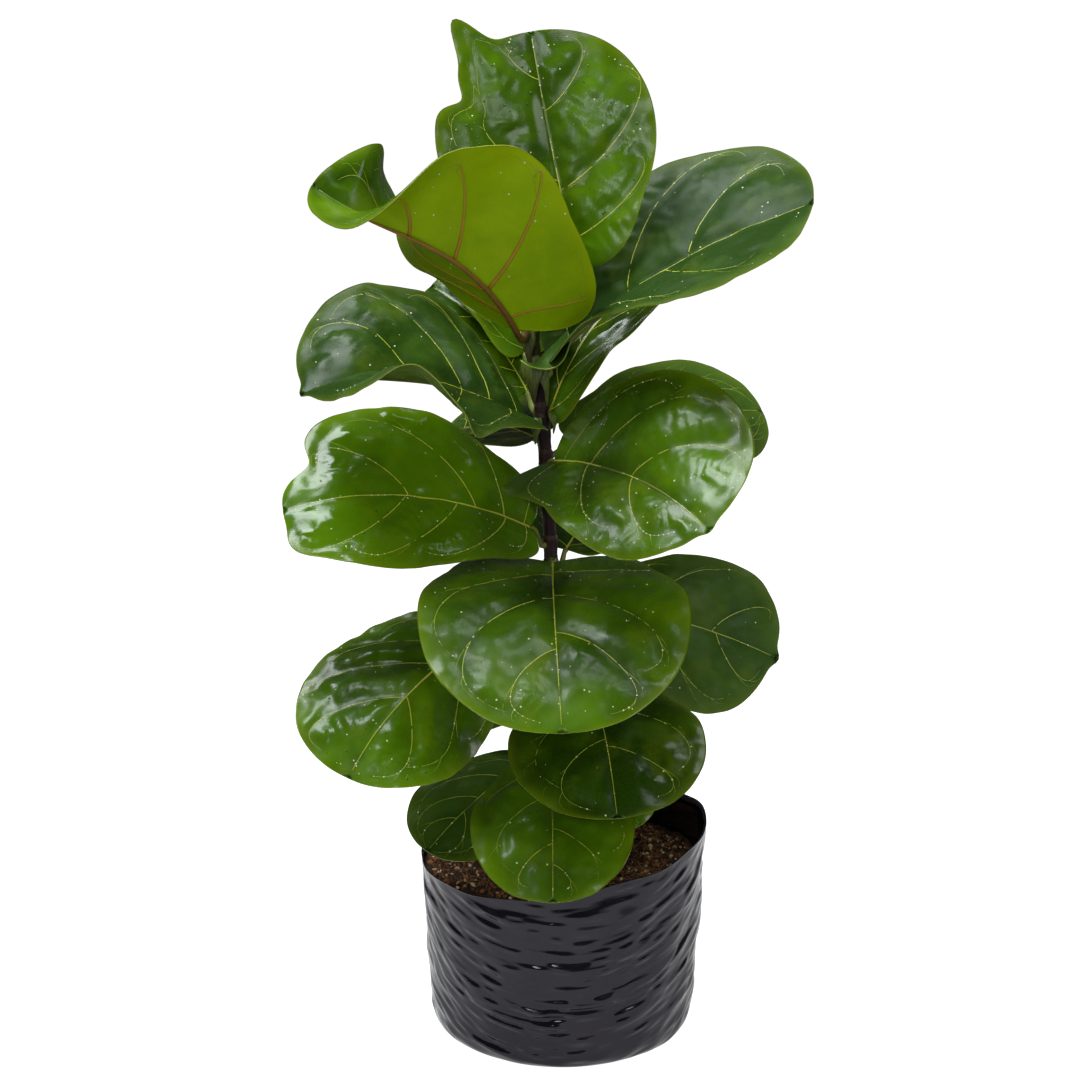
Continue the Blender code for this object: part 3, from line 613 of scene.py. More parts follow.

# One entry a leaf. height is where it leaves the stem and base is where stalk and blade meet. heading is
# the way it points (0 right, 90 back, 180 left, -90 front), swing how far that turns by the tip. pitch,
# roll and the lifts of the left and right half are degrees at even steps from base to tip. lobes reach
# back past the base, halves and fullness shape the outline, tooth is the tip's small point, and each bump
# is (side, place along the margin, reach, spread). ribs are its side veins, as in veinLook. The rest are
# looks, and one that isn't given has its usual value: shade light or dark, which is partly the leaf's own
# tone and partly painted light and shade (lighter on low leaves that the leaves above leave in shadow,
# darker on leaves whose highlights come out too bright), warm and brown the tint of midrib and petiole,
# stout and ribby how thick these and the veins underneath are, young for the pale unfolding leaf, pucker
# and blister how uneven the blade is, dull and dusty how little it shines, with dusty also giving a
# greyer and darker finish that is partly painted shade, specks and wet what lies on it.
leafValues = {
    "leaf_01": {
        "height": 0.545, "base": (0.011, -0.002, 0.584), "heading": 141, "pitch": (72, 75, 78),
        "roll": (-51, -51), "size": (0.172, 0.157), "fullness": 0.14, "lobes": (0.02, 0.02),
        "halves": (1.04, 0.98), "left": (15, 12, 8, 5, 0), "right": (15, 12, 8, 5, 0),
        "bumps": ((1, 0.86, 0.028, 0.035), (1, 0.73, -0.014, 0.045)), "dull": 0.15, "blister": 1.5,
        "shade": 0.6, "warm": 0.15, "wet": 1.6, "specks": 1.8, "pucker": 0.9,
        "ribs": ((-1, 0.16, 0.33, 0.88), (-1, 0.38, 0.64, 0.97), (-1, 0.7, 0.9, 0.88),
        (1, 0.1, 0.52, 0.9), (1, 0.25, 0.7, 0.9), (1, 0.42, 0.86, 0.78), (1, 0.82, 0.92, 0.6))},
    "leaf_02": {
        "height": 0.538, "base": (-0.031, -0.048, 0.548), "heading": -122, "swing": -58,
        "pitch": (50, 37, 25, 35), "roll": (46, 56, 68, 78, 64, 38, -16, -24), "size": (0.195, 0.16),
        "fullness": -0.15, "lobes": (0.12, 0.0), "left": (0, 0, 0, 8, 0),
        "right": (58, 66, 70, 82, 82, 66, 44, 26), "bumps": ((1, 0.2, 0.01, 0.13), (1, 0.42, 0.009, 0.1)),
        "brown": 1.0, "stout": 1.5, "ribby": 3.2, "young": 1.0, "warm": 1.0, "shade": 0.55, "specks": 1.6,
        "pucker": 0.8, "ribs": ((1, 0.09, 0.12, 0.9), (1, 0.27, 0.29, 0.97), (1, 0.46, 0.48, 0.85),
        (1, 0.65, 0.66, 0.75), (-1, 0.12, 0.35, 0.8), (-1, 0.27, 0.48, 0.8), (-1, 0.48, 0.7, 0.8),
        (-1, 0.7, 0.88, 0.7))},
    # leaf_03's low shade is partly painted shade, darker to offset the strong highlight on its far half
    "leaf_03": {
        "height": 0.508, "base": (-0.012, -0.001, 0.519), "heading": -10, "swing": -12,
        "pitch": (46, 31, 21), "roll": (32, 32), "size": (0.225, 0.18), "left": (16, 18, 15, 10, 0),
        "right": (26, 34, 26, 18, 13, 6), "bumps": ((-1, 0.3, -0.015, 0.1),), "lobes": (0.0, 0.0),
        "dustyAndShaded": 1, "blister": 0.8, "dull": 0.4, "shade": 0.05, "warm": 0.2, "specks": 1.2,
        "ribs": ((1, 0.12, 0.3, 0.9), (1, 0.38, 0.62, 0.97), (1, 0.6, 0.8, 0.87), (-1, 0.1, 0.28, 0.8),
        (-1, 0.3, 0.5, 0.82), (-1, 0.52, 0.72, 0.8))},
    "leaf_04": {
        "height": 0.5, "base": (-0.028, 0.022, 0.52), "heading": 110, "pitch": (55, 42, 20),
        "roll": (-20, -20), "size": (0.125, 0.085), "left": (15, 15, 5, 5, 5), "right": (5, 5),
        "brown": 0.12, "stout": 1.4, "shade": 0.4, "specks": 0.2},
    # leaf_05's low shade is partly painted shade, darker to offset its strong highlights
    "leaf_05": {
        "height": 0.472, "base": (-0.027, -0.016, 0.48), "heading": -157, "swing": -8,
        "pitch": (30, 24, 9, 2, -26), "roll": (-16, -16), "size": (0.17, 0.168), "lobes": (0.09, -0.04),
        "left": (14, 8, -4, 16, 32, 22, 12), "right": (18, 24, 28, 24, 5), "dustyAndShaded": 1, "blister": 1.7,
        "shade": 0.15, "warm": 0.3, "specks": 1.4, "pucker": 1.35, "ribs": ((-1, 0.06, 0.2, 0.9),
        (-1, 0.22, 0.4, 0.95), (-1, 0.36, 0.68, 0.92), (-1, 0.58, 0.8, 0.9), (1, 0.12, 0.3, 0.75),
        (1, 0.36, 0.56, 0.8), (1, 0.62, 0.82, 0.8)), "tooth": 0.03},
    "leaf_06": {
        "height": 0.48, "base": (-0.026, 0.018, 0.492), "heading": 135, "pitch": (50, 32, 10),
        "roll": (-35, -35), "size": (0.125, 0.095), "left": (15, 15, 15, 5, 5), "right": (5, 5),
        "brown": 0.12, "stout": 1.4, "shade": 0.4, "specks": 0.2},
    "leaf_07": {
        "height": 0.462, "base": (-0.011, 0.014, 0.474), "heading": 49, "swing": -18,
        "pitch": (62, 37, 8), "roll": (10, 10), "size": (0.165, 0.11), "halves": (0.62, 0.7),
        "left": (5, 5), "right": (5, 5), "bumps": ((-1, 0.42, -0.005, 0.06),), "brown": 0.12,
        "stout": 1.4, "shade": 0.35, "warm": 0.6, "specks": 0.4},
    "leaf_08": {
        "height": 0.38, "base": (-0.024, -0.01, 0.395), "heading": -155, "swing": -20,
        "pitch": (28, 9, -18), "roll": (-48, -40), "size": (0.187, 0.155), "fullness": 0.12,
        "halves": (0.81, 1.06), "left": (10, 10, 5, 0, 0), "right": (-5, -5, -5, -5, 0),
        "bumps": ((-1, 0.86, -0.017, 0.07), (1, 0.86, 0.009, 0.07)), "pucker": 1.3, "blister": 1.4,
        "shade": 0.85, "warm": 0.5, "wet": 0.6, "specks": 1.8, "ribs": ((-1, 0.05, 0.09, 0.9),
        (-1, 0.16, 0.22, 0.97), (-1, 0.29, 0.66, 0.9), (-1, 0.56, 0.84, 0.86), (1, 0.04, 0.16, 0.7),
        (1, 0.15, 0.4, 0.85), (1, 0.37, 0.64, 0.88), (1, 0.57, 0.86, 0.93))},
    "leaf_09": {
        "height": 0.436, "base": (-0.008, -0.03, 0.448), "heading": -52, "pitch": (10, -4, -26),
        "roll": (44, 44), "size": (0.17, 0.16), "fullness": 0.12, "lobes": (0.02, 0.15),
        "halves": (1.06, 0.78), "left": (13, 13, 10, 0, 0), "right": (13, 12, 12, 0, 0),
        "bumps": ((-1, 0.14, 0.013, 0.1),), "pucker": 1.1, "blister": 1.1, "dull": 0.35, "shade": 0.55,
        "warm": 0.4, "specks": 3.0, "ribs": ((1, 0.09, 0.38, 0.9), (1, 0.29, 0.66, 0.92),
        (1, 0.55, 0.86, 0.9), (-1, 0.06, 0.22, 0.93), (-1, 0.28, 0.56, 0.74), (-1, 0.56, 0.84, 0.72)),
        "tooth": 0.02},
    "leaf_10": {
        "height": 0.445, "base": (0.009, 0.02, 0.452), "heading": 28, "pitch": (10, 3, -8),
        "roll": (36, 36), "size": (0.165, 0.11), "dustyAndShaded": 1, "dull": 0.5, "shade": 0.5, "specks": 0.3},
    "leaf_11": {
        "height": 0.362, "base": (-0.008, -0.02, 0.37), "heading": -91, "swing": 6,
        "pitch": (4, -20, -50), "roll": (0, 0), "size": (0.194, 0.19), "fullness": 0.03,
        "halves": (1.0, 1.01), "left": (5, 5, 5, 0, 0), "right": (5, 5, 5, 0, 0), "pucker": 1.1,
        "blister": 1.1, "dull": 0.45, "shade": 0.5, "warm": 0.35, "specks": 2.4,
        "ribs": ((1, 0.18, 0.2, 0.93), (1, 0.4, 0.63, 0.87), (1, 0.61, 0.84, 0.9), (-1, 0.21, 0.56, 0.9),
        (-1, 0.42, 0.8, 0.88), (-1, 0.69, 0.92, 0.76))},
    "leaf_12": {
        "height": 0.322, "base": (0.012, 0.012, 0.325), "heading": 6, "swing": -6,
        "pitch": (-4, -15, -28), "roll": (47, 47), "size": (0.155, 0.138), "fullness": 0.35,
        "lobes": (0.0, 0.0), "halves": (0.9, 1.0), "dustyAndShaded": 1, "blister": 2.0, "dull": 0.6, "shade": 0.6,
        "specks": 0.4, "ribs": ((1, 0.12, 0.35, 0.85), (1, 0.36, 0.58, 0.85), (1, 0.7, 0.82, 0.9),
        (-1, 0.14, 0.45, 0.85), (-1, 0.42, 0.72, 0.85), (-1, 0.72, 0.92, 0.8)), "tooth": 0.03},
    "leaf_13": {
        "height": 0.315, "base": (-0.026, -0.01, 0.32), "heading": -137, "pitch": (5, -25, -52),
        "roll": (-25, -25), "size": (0.198, 0.158), "halves": (0.84, 1.03),
        "left": (-20, -35, -40, -20, 0), "right": (-6, -14, -16, -10, 0), "dull": 0.35, "blister": 2.4,
        "shade": 0.6, "warm": 0.3, "wet": 0.6, "specks": 1.4, "pucker": 1.5,
        "ribs": ((-1, 0.12, 0.36, 0.85), (-1, 0.34, 0.54, 0.9), (-1, 0.49, 0.68, 0.95),
        (-1, 0.67, 0.86, 0.94), (1, 0.15, 0.45, 0.85), (1, 0.38, 0.76, 0.8), (1, 0.66, 0.9, 0.82))},
    "leaf_14": {
        "height": 0.272, "base": (0.021, -0.036, 0.277), "heading": -82, "pitch": (-2, -26, -48),
        "roll": (4, 4), "size": (0.13, 0.142), "fullness": 0.1, "blister": 1.2, "dull": 0.25,
        "shade": 0.1, "specks": 1.0, "ribs": ((1, 0.27, 0.62, 0.86), (1, 0.59, 0.78, 0.85),
        (-1, 0.25, 0.68, 0.78), (-1, 0.54, 0.88, 0.78))},
    # leaf_15's high shade is painted light: lighter because the leaves above leave it in shadow
    "leaf_15": {
        "height": 0.212, "base": (-0.008, -0.03, 0.219), "heading": -90, "pitch": (-5, -25, -48),
        "roll": (2, 2), "size": (0.138, 0.118), "fullness": 0.1, "dull": 0.55, "pucker": 1.3,
        "blister": 2.8, "shade": 1.05, "specks": 0.8, "ribs": ((1, 0.3, 0.58, 0.88), (1, 0.61, 0.78, 0.8),
        (1, 0.81, 0.9, 0.6), (-1, 0.1, 0.4, 0.85), (-1, 0.37, 0.74, 0.76), (-1, 0.7, 0.84, 0.75))},
    "leaf_16": {
        "height": 0.2, "base": (-0.032, -0.01, 0.21), "heading": -138, "pitch": (-20, -26, -36),
        "roll": (-26, -26), "size": (0.103, 0.078), "dustyAndShaded": 1, "blister": 1.8, "dull": 0.4, "shade": 0.6,
        "specks": 0.5},
    "leaf_17": {
        "height": 0.19, "base": (0.01, -0.01, 0.197), "heading": -45, "pitch": (-5, -15, -25),
        "roll": (15, 15), "size": (0.07, 0.06), "left": (5, 5), "right": (5, 5), "shade": 0.8,
        "specks": 0},
    "leaf_18": {
        "height": 0.256, "base": (-0.014, 0.016, 0.256), "heading": 150, "pitch": (-10, -17, -20),
        "roll": (-30, -30), "size": (0.14, 0.115), "left": (5, 5), "right": (5, 5), "dustyAndShaded": 1,
        "dull": 0.5, "shade": 0.0, "specks": 0.2},
    "leaf_19": {
        "height": 0.432, "base": (-0.02, 0.032, 0.452), "heading": 124, "pitch": (5, -12, -25),
        "roll": (-25, -25), "size": (0.15, 0.115), "halves": (0.9, 1.0), "left": (12, 12, 8, 5, 5),
        "right": (5, 5), "brown": 0.12, "stout": 1.4, "dull": 0.5, "shade": 0.0, "specks": 0.1},
    "leaf_20": {
        "height": 0.36, "base": (0.002, 0.014, 0.372), "heading": 70, "pitch": (15, 0, -15),
        "roll": (10, 10), "size": (0.165, 0.135), "left": (5, 5), "right": (5, 5), "dull": 0.5,
        "shade": 0.1, "specks": 0.2},
}


def alongStations(values, place):
    # smooth curve through evenly spaced values, read at places from 0 to 1
    values = np.asarray(values, float)
    last = len(values) - 1
    step = np.clip(place, 0, 1) * last
    low = np.minimum(step.astype(int), last - 1)
    part = step - low
    slopes = np.gradient(values) if last > 1 else np.full(2, values[1] - values[0])
    start, end = values[low], values[low + 1]
    square, cube = part ** 2, part ** 3
    return (start * (2 * cube - 3 * square + 1) + slopes[low] * (cube - 2 * square + part)
            + end * (3 * square - 2 * cube) + slopes[low + 1] * (cube - square))


def bladeOutline(leaf, turn, side):
    # one half of the flat outline: how far forward and across, turn 0 at the base to pi at the tip
    length, width = leaf["size"]
    place = turn / np.pi
    lobe = np.where(side > 0, *leaf.get("lobes", bladeLook["lobes"]))
    forward = length * (0.5 - 0.5 * np.cos(turn))
    forward = forward - lobe * length * np.sin(np.minimum(place / bladeLook["lobeEnd"], 1) * np.pi)
    depth, middle, spread = bladeLook["waist"]

    def reach(angle):
        waist = 1 - depth * np.exp(-((angle / np.pi - middle) / spread) ** 2)
        full = 1 - leaf.get("fullness", bladeLook["fullness"]) * np.cos(angle)
        return np.abs(np.sin(angle)) ** bladeLook["roundness"] * full * waist

    widest = reach(np.pi * np.arange(1, 100) / 100).max()
    across = width / 2 * reach(turn) / widest * np.where(side > 0, *leaf.get("halves", (1, 1)))
    for bumpSide, bumpPlace, bumpReach, bumpSpread in leaf.get("bumps", ()):
        push = bumpReach * np.exp(-((place - bumpPlace) / bumpSpread) ** 2) * (side * bumpSide > 0)
        forward = forward - np.cos(turn) * push
        across = across + np.sin(turn) * push
    return forward, across


class LeafBlade:
    # the bent blade of one leaf: row runs from base 0 to tip 1, column from right margin -1 to left 1

    def __init__(self, name, values):
        self.values = values
        self.seed = int(name[-2:])
        self.random = np.random.default_rng(self.seed)
        self.length, self.width = values["size"]
        self.bendMidrib()
        self.layVeins()

    def bendMidrib(self, steps=120):
        leaf = self.values
        place = np.linspace(0, 1, steps + 1)
        heading = np.radians(leaf["heading"] + leaf.get("swing", 0) * place)
        pitch = np.radians(alongStations(leaf["pitch"], place))
        roll = np.radians(alongStations(leaf["roll"], place))[:, None]
        level = np.stack([-np.sin(heading), np.cos(heading), heading * 0], axis=-1)
        ahead = np.stack([np.cos(heading), np.sin(heading), heading * 0], axis=-1) * np.cos(pitch)[:, None]
        ahead[:, 2] = np.sin(pitch)
        left = level * np.cos(roll) + np.cross(ahead, level) * np.sin(roll)
        hops = (ahead[1:] + ahead[:-1]) / 2 * (self.length / steps)
        points = np.concatenate([np.zeros((1, 3)), np.cumsum(hops, axis=0)]) + leaf["base"]
        self.frames = np.stack([points, ahead, left, np.cross(ahead, left)], axis=1)

    def frameAt(self, place):
        step = np.clip(place, 0, 1) * (len(self.frames) - 1)
        low = np.minimum(step.astype(int), len(self.frames) - 2)
        part = (step - low)[..., None, None]
        frames = self.frames[low] * (1 - part) + self.frames[low + 1] * part
        return [frames[..., index, :] for index in range(4)]

    def flatten(self, row, column):
        side = np.where(column < 0, -1, 1)
        edgeForward, edgeAcross = bladeOutline(self.values, np.pi * row ** bladeLook["marginSpacing"], side)
        ribForward = self.length * row ** bladeLook["midribSpacing"]
        forward = ribForward + (edgeForward - ribForward) * np.abs(column) ** bladeLook["veinSweep"]
        tooth = self.values.get("tooth", 0) * np.exp(-((1 - row) / bladeLook["tipWidth"]) ** 2)
        return forward + tooth * self.length, edgeAcross * column

    def layVeins(self):
        # side veins leave the midrib in turn, lean forward and run along inside the margin
        self.veins = []
        for side, root, end, reach in self.values.get("ribs", veinLook["ribs"]):
            end += self.random.uniform(-0.012, 0.012)
            reach += self.random.uniform(-0.015, 0.015)
            size = 0.62 if root < 0.1 else 1.05 - 0.5 * root
            self.veins.append((side, root, end, reach, 0.55 - 0.25 * root, size))
        path = np.linspace(0, 1, 40)
        samples, self.sampleAlong = [], []
        for vein in self.veins:
            row, column = self.veinPath(vein, path)
            forward, across = self.flatten(row, column)
            samples.append(np.stack([forward, across], axis=-1))
            hops = np.linalg.norm(np.diff(samples[-1], axis=0), axis=1)
            self.sampleAlong.append(np.concatenate([[0], np.cumsum(hops)]) + 0.31 * len(samples))
        self.veinSamples = np.concatenate(samples)
        self.sampleAlong = np.concatenate(self.sampleAlong)

    def veinPath(self, vein, path):
        side, root, end, reach, lean, _ = vein
        row = root + (end - root) * (lean * path + (1 - lean) * path ** 2)
        return row, side * reach * np.sin(path * 1.95)

    def veinDistance(self, forward, across, batch=4096):
        # how far each place is from the nearest vein, and how far along that vein it lies
        spots = np.stack([forward.ravel(), across.ravel()], axis=-1)
        near, along = np.empty((2, len(spots)))
        for start in range(0, len(spots), batch):
            part = slice(start, start + batch)
            squares = ((spots[part, None] - self.veinSamples[None]) ** 2).sum(axis=-1)
            pick = squares.argmin(axis=1)
            near[part] = np.sqrt(squares[np.arange(len(pick)), pick])
            along[part] = self.sampleAlong[pick]
        return near.reshape(forward.shape), along.reshape(forward.shape)

    def relief(self, row, column, forward, across):
        # how far the blade stands out at each place, and how near that is to a vein
        leaf, look = self.values, bladeLook
        veinGap, veinAlong = self.veinDistance(forward, across)
        ribGap = np.abs(across)
        gap = np.minimum(veinGap, ribGap)
        edge = 1 - np.abs(column) ** 6
        ends = np.sin(np.pi * np.clip(row, 0, 1)) ** 0.5
        size = min(self.width / 0.15, 1.1) * leaf.get("pucker", 1)
        swell = 1 - np.exp(-(gap / look["quiltWidth"]) ** 2)
        height = look["quilt"] * size * swell * edge * ends
        wander, ripple, dent, bubble = look["patches"].values()
        wave = 2.2 * smoothNoise(forward * wander, across * wander, self.seed)
        creases = np.sin(2 * np.pi * veinAlong / look["rippleGap"] + wave)
        patch = 0.5 + 0.5 * smoothNoise(forward * ripple, across * ripple, self.seed + 7)
        nearVein = np.exp(-veinGap / look["rippleReach"])
        height = height + look["ripple"] * size * creases * patch * swell * nearVein * edge * 2
        dents = cloudNoise(forward * dent, across * dent, self.seed, 5)
        height = height + look["dent"] * size * dents * ends
        blister = look["bubble"] * leaf.get("blister", 1) * (1 - np.exp(-(gap / look["bubbleGap"]) ** 2))
        height = height + blister * smoothNoise(forward * bubble, across * bubble, self.seed, 9) * ends
        height = height - look["groove"] * np.exp(-(ribGap / look["grooveWidth"]) ** 2) * (1 - 0.6 * row)
        ruffle = look["ruffle"] * np.sin(2 * np.pi * (look["ruffleWaves"] * row + leaf["heading"] / 90))
        return height + ruffle * np.abs(column) ** 3 * np.sin(np.pi * row), gap

    def lay(self, row, column):
        # points of the blade's middle, and how near each is to a vein and to the margin
        row, column = np.broadcast_arrays(np.asarray(row, float), np.asarray(column, float))
        forward, across = self.flatten(row, column)
        place = np.clip(forward / self.length, 0, 1)
        origin, ahead, left, up = self.frameAt(place)
        origin = origin + ahead * (forward - place * self.length)[..., None]
        lifts = [np.radians(alongStations(self.values.get(side, (0, 0)), place))
                 for side in ("right", "left")]
        lift = np.where(column < 0, *lifts)
        height, gap = self.relief(row, column, forward, across)
        width = np.abs(across)
        points = (origin + left * (np.sign(across) * width * np.cos(lift))[..., None]
                  + up * (width * np.sin(lift) + height)[..., None])
        return points, gap, width.max() * (1 - np.abs(column))

    def layOn(self, row, column, step=0.004):
        # a point of the blade with its upward direction
        row = np.clip(row, step, 1 - step)
        here = self.lay(row, column)[0]
        forward = self.lay(row + step, column)[0] - self.lay(row - step, column)[0]
        inner = np.where(np.abs(column) < 0.99, step, -step)
        across = (self.lay(row, column + inner)[0] - here) * np.sign(inner)[..., None]
        return here, unit(np.cross(forward, across))

    def fit(self, points):
        scale, shift = self.map
        return points * scale + shift


stemLook = {
    "axis": ((0.000, 0.0, 0.096), (-0.002, 0.0, 0.200), (-0.009, 0.0, 0.370), (-0.013, 0.0, 0.450),
             (-0.017, 0.0, 0.490), (-0.022, 0.0, 0.531), (-0.024, 0.0, 0.562)),
    "radius": (0.0064, 0.0042),      # at the foot and at the tip
    "bud": 0.016,
    "swell": 0.0009,                 # at each leaf
    "swellWidth": 0.005,
    # the ring above each leaf: place, width, ridge and groove
    "scar": (0.0035, 0.0008, 0.00035, 0.0003),
    "ridge": 0.0004,
    "grain": 0.00012,
    "step": 0.0011,
    "sides": 36,
    "barkTones": ((0.006, 0.0015, 0.002), (0.026, 0.007, 0.008)),
    "scarTone": (0.05, 0.024, 0.012),
    "youngTone": (0.070, 0.060, 0.015),
    "fleckTone": (0.16, 0.10, 0.06),
}


def stemAxis(height):
    places = np.array(stemLook["axis"])
    return np.array([np.interp(height, places[:, 2], places[:, axis]) for axis in (0, 1)] + [height])


def stemRadius(height):
    bottom, top = stemLook["axis"][0][2], stemLook["axis"][-1][2]
    low, high = stemLook["radius"]
    radius = low + (high - low) * (height - bottom) / (top - bottom)
    for leaf in leafValues.values():
        gap = (height - leaf["height"]) / stemLook["swellWidth"]
        radius = radius + stemLook["swell"] * np.exp(-gap ** 2)
    return radius


def stalkPath(blade):
    # petiole from the bark, then the midrib under the blade
    leaf = blade.values
    axis = stemAxis(leaf["height"])
    base = np.array(leaf["base"])
    outward = (base - axis) * (1, 1, 0)
    outward = outward / np.linalg.norm(outward)
    foot = axis + outward * (stemRadius(leaf["height"]) + stalkLook["gap"])
    heel = foot + outward * stalkLook["heel"]
    reach = np.linalg.norm(base - foot)
    ahead = blade.frames[0, 1]
    start, end = stalkLook["bends"]
    bends = np.array([heel, heel + outward * reach * start, base - ahead * reach * end, base])
    petioleSteps, ribSteps = stalkLook["steps"]
    share = np.linspace(0, 1, petioleSteps, endpoint=False)[:, None]
    rest = 1 - share
    curve = (bends[0] * rest ** 3 + bends[1] * 3 * rest ** 2 * share
             + bends[2] * 3 * rest * share ** 2 + bends[3] * share ** 3)
    origin, _, _, up = blade.frameAt(np.linspace(0, stalkLook["reach"], ribSteps))
    radii = np.concatenate([[stalkLook["petiole"] * 1.1],
                            np.linspace(stalkLook["petiole"], stalkLook["rib"], petioleSteps),
                            np.linspace(stalkLook["rib"], stalkLook["ribEnd"], ribSteps)])
    radii = radii * (1 + (leaf.get("stout", 1) - 1) * np.linspace(1, 0.2, len(radii)))
    under = origin - up * (radii[petioleSteps + 1:, None] + bladeLook["groove"] * 0.6)
    return np.concatenate([[foot], curve, under]), radii


def addVein(parts, blade, row, column, widths, warm, fade, swollen=1.2):
    # one vein, flat along the top of the blade and raised beneath it
    topSlot, underSlot = 3, 4
    middle, up = blade.layOn(row, column)
    half = bladeLook["thickness"] / 2
    tone = np.zeros((len(row), 4))
    tone[:, 0], tone[:, 2] = warm, fade
    tone[:, 3] = blade.values.get("young", 0)
    addTube(parts, blade.fit(middle + up * half), widths, 6, topSlot, tone, veinLook["topRise"], up)
    addTube(parts, blade.fit(middle - up * half), widths * swollen, 6, underSlot, tone,
            veinLook["underRise"], up)


def taper(name, path, power=1.0):
    start, end = veinLook[name]
    return end + (start - end) * (1 - path) ** power


def addVeins(parts, blade):
    look, values, random = veinLook, blade.values, blade.random
    scale = np.clip(blade.length / look["usualBlade"], *look["usualLimits"])
    warmth = values.get("warm", 0.35)
    path = np.linspace(0, 0.975, look["steps"]["midrib"])
    addVein(parts, blade, path ** 1.05, path * 0, taper("midrib", path, 1.2) * scale,
            warmth * (1 - path) ** 1.5, 0.5 * path ** 2)
    for vein in blade.veins:
        path = np.linspace(0, 1, look["steps"]["side"])
        addVein(parts, blade, *blade.veinPath(vein, path), taper("side", path, 1.1) * scale * vein[5],
                warmth * 0.5 * (1 - path) ** 2, np.interp(path, (0, 1), look["sideFade"]),
                values.get("ribby", 1.2))
        path = np.linspace(0, 1, look["steps"]["fork"])
        for share in look["forks"]:
            share += random.uniform(-0.06, 0.06)
            forkRow, forkColumn = blade.veinPath(vein, share)
            outward = (look["margin"] - abs(forkColumn)) * random.uniform(0.75, 1.0)
            columns = vein[0] * (abs(forkColumn) + outward * np.sin(path * np.pi / 2))
            rows = forkRow + random.uniform(0.02, 0.07) * path + 0.02 * path ** 3
            keep = rows < 0.985
            addVein(parts, blade, rows[keep], columns[keep], (taper("fork", path) * scale)[keep],
                    0.0, np.interp(path, (0, 1), look["forkFade"])[keep])


def addSkin(parts, blade, middle, ends, veinGap, marginGap):
    # the upper side, the underside and the margin between them, closed at the base and the tip
    topSlot, underSlot, marginSlot = 0, 1, 2
    up = unit(np.cross(np.gradient(middle, axis=0), np.gradient(middle, axis=1)))
    half = bladeLook["thickness"] / 2
    endUp = np.array([up[0].mean(axis=0), up[-1].mean(axis=0)])
    rowCount, columnCount = middle.shape[:2]
    sheet = rowCount * columnCount
    points = np.concatenate([(middle + up * half).reshape(-1, 3), (middle - up * half).reshape(-1, 3),
                             ends + endUp * half, ends - endUp * half])
    tone = np.zeros((len(points), 4))
    tone[:2 * sheet, 0] = np.tile(np.exp(-veinGap / bladeLook["veinTint"]).ravel(), 2)
    tone[:2 * sheet, 1] = np.tile(np.exp(-marginGap / bladeLook["marginTint"]).ravel(), 2)
    # the shade channel: the leaf's tone, partly painted light and shade set leaf by leaf
    tone[:, 2] = blade.values.get("shade", 0.5)
    tone[:, 3] = blade.values.get("dull", 0)
    grid = gridFaces(rowCount, columnCount)
    corner = 2 * sheet
    line = np.arange(columnCount - 1)
    tipRow = (rowCount - 1) * columnCount
    fans = np.concatenate([np.stack([line * 0 + corner, line, line + 1], axis=-1),
                           np.stack([tipRow + line + 1, tipRow + line, line * 0 + corner + 1], axis=-1)])
    underFans = np.where(fans >= corner, fans + 2, fans + sheet)
    edge = np.arange(rowCount) * columnCount
    rims = []
    for shift, flip in ((0, 1), (columnCount - 1, -1)):
        ring = np.concatenate([[corner], edge + shift, [corner + 1]])
        ringUnder = np.concatenate([[corner + 2], edge + shift + sheet, [corner + 3]])
        rims.append(np.stack([ring[:-1], ring[1:], ringUnder[1:], ringUnder[:-1]], axis=-1)[:, ::flip])
    parts.add(blade.fit(points), grid[:, ::-1], topSlot, tone)
    parts.addFaces(fans[:, ::-1], topSlot)
    parts.addFaces(grid + sheet, underSlot)
    parts.addFaces(underFans, underSlot)
    parts.addFaces(np.concatenate(rims), marginSlot)


def makeLeaf(name, values):
    blade = LeafBlade(name, values)
    large = blade.length >= bladeLook["largeBlade"]
    rowCrowd, columnCrowd = bladeLook["crowding"]
    row = np.linspace(0, 1, bladeLook["rows"][large] + 1)[1:-1, None] ** rowCrowd
    column = np.linspace(-1, 1, bladeLook["columns"][large] + 1)[None]
    column = np.sin(column * columnCrowd) / math.sin(columnCrowd)
    middle, veinGap, marginGap = blade.lay(row, column)
    ends = blade.lay(np.array([0.0, 1.0]), np.array([0.0, 0.0]))[0]
    stalk, stalkRadii = stalkPath(blade)
    blade.map = boxMap(np.concatenate([middle.reshape(-1, 3), stalk]), name)
    parts = MeshParts()
    addSkin(parts, blade, middle, ends, veinGap, marginGap)
    tone = np.zeros((len(stalk), 4))
    tone[:, 0] = np.linspace(1, 0.2, len(stalk)) * values.get("brown", 0.5)
    tone[:, 3] = values.get("young", 0)
    addTube(parts, blade.fit(stalk), stalkRadii, 10, 5, tone)
    addVeins(parts, blade)
    return parts, blade


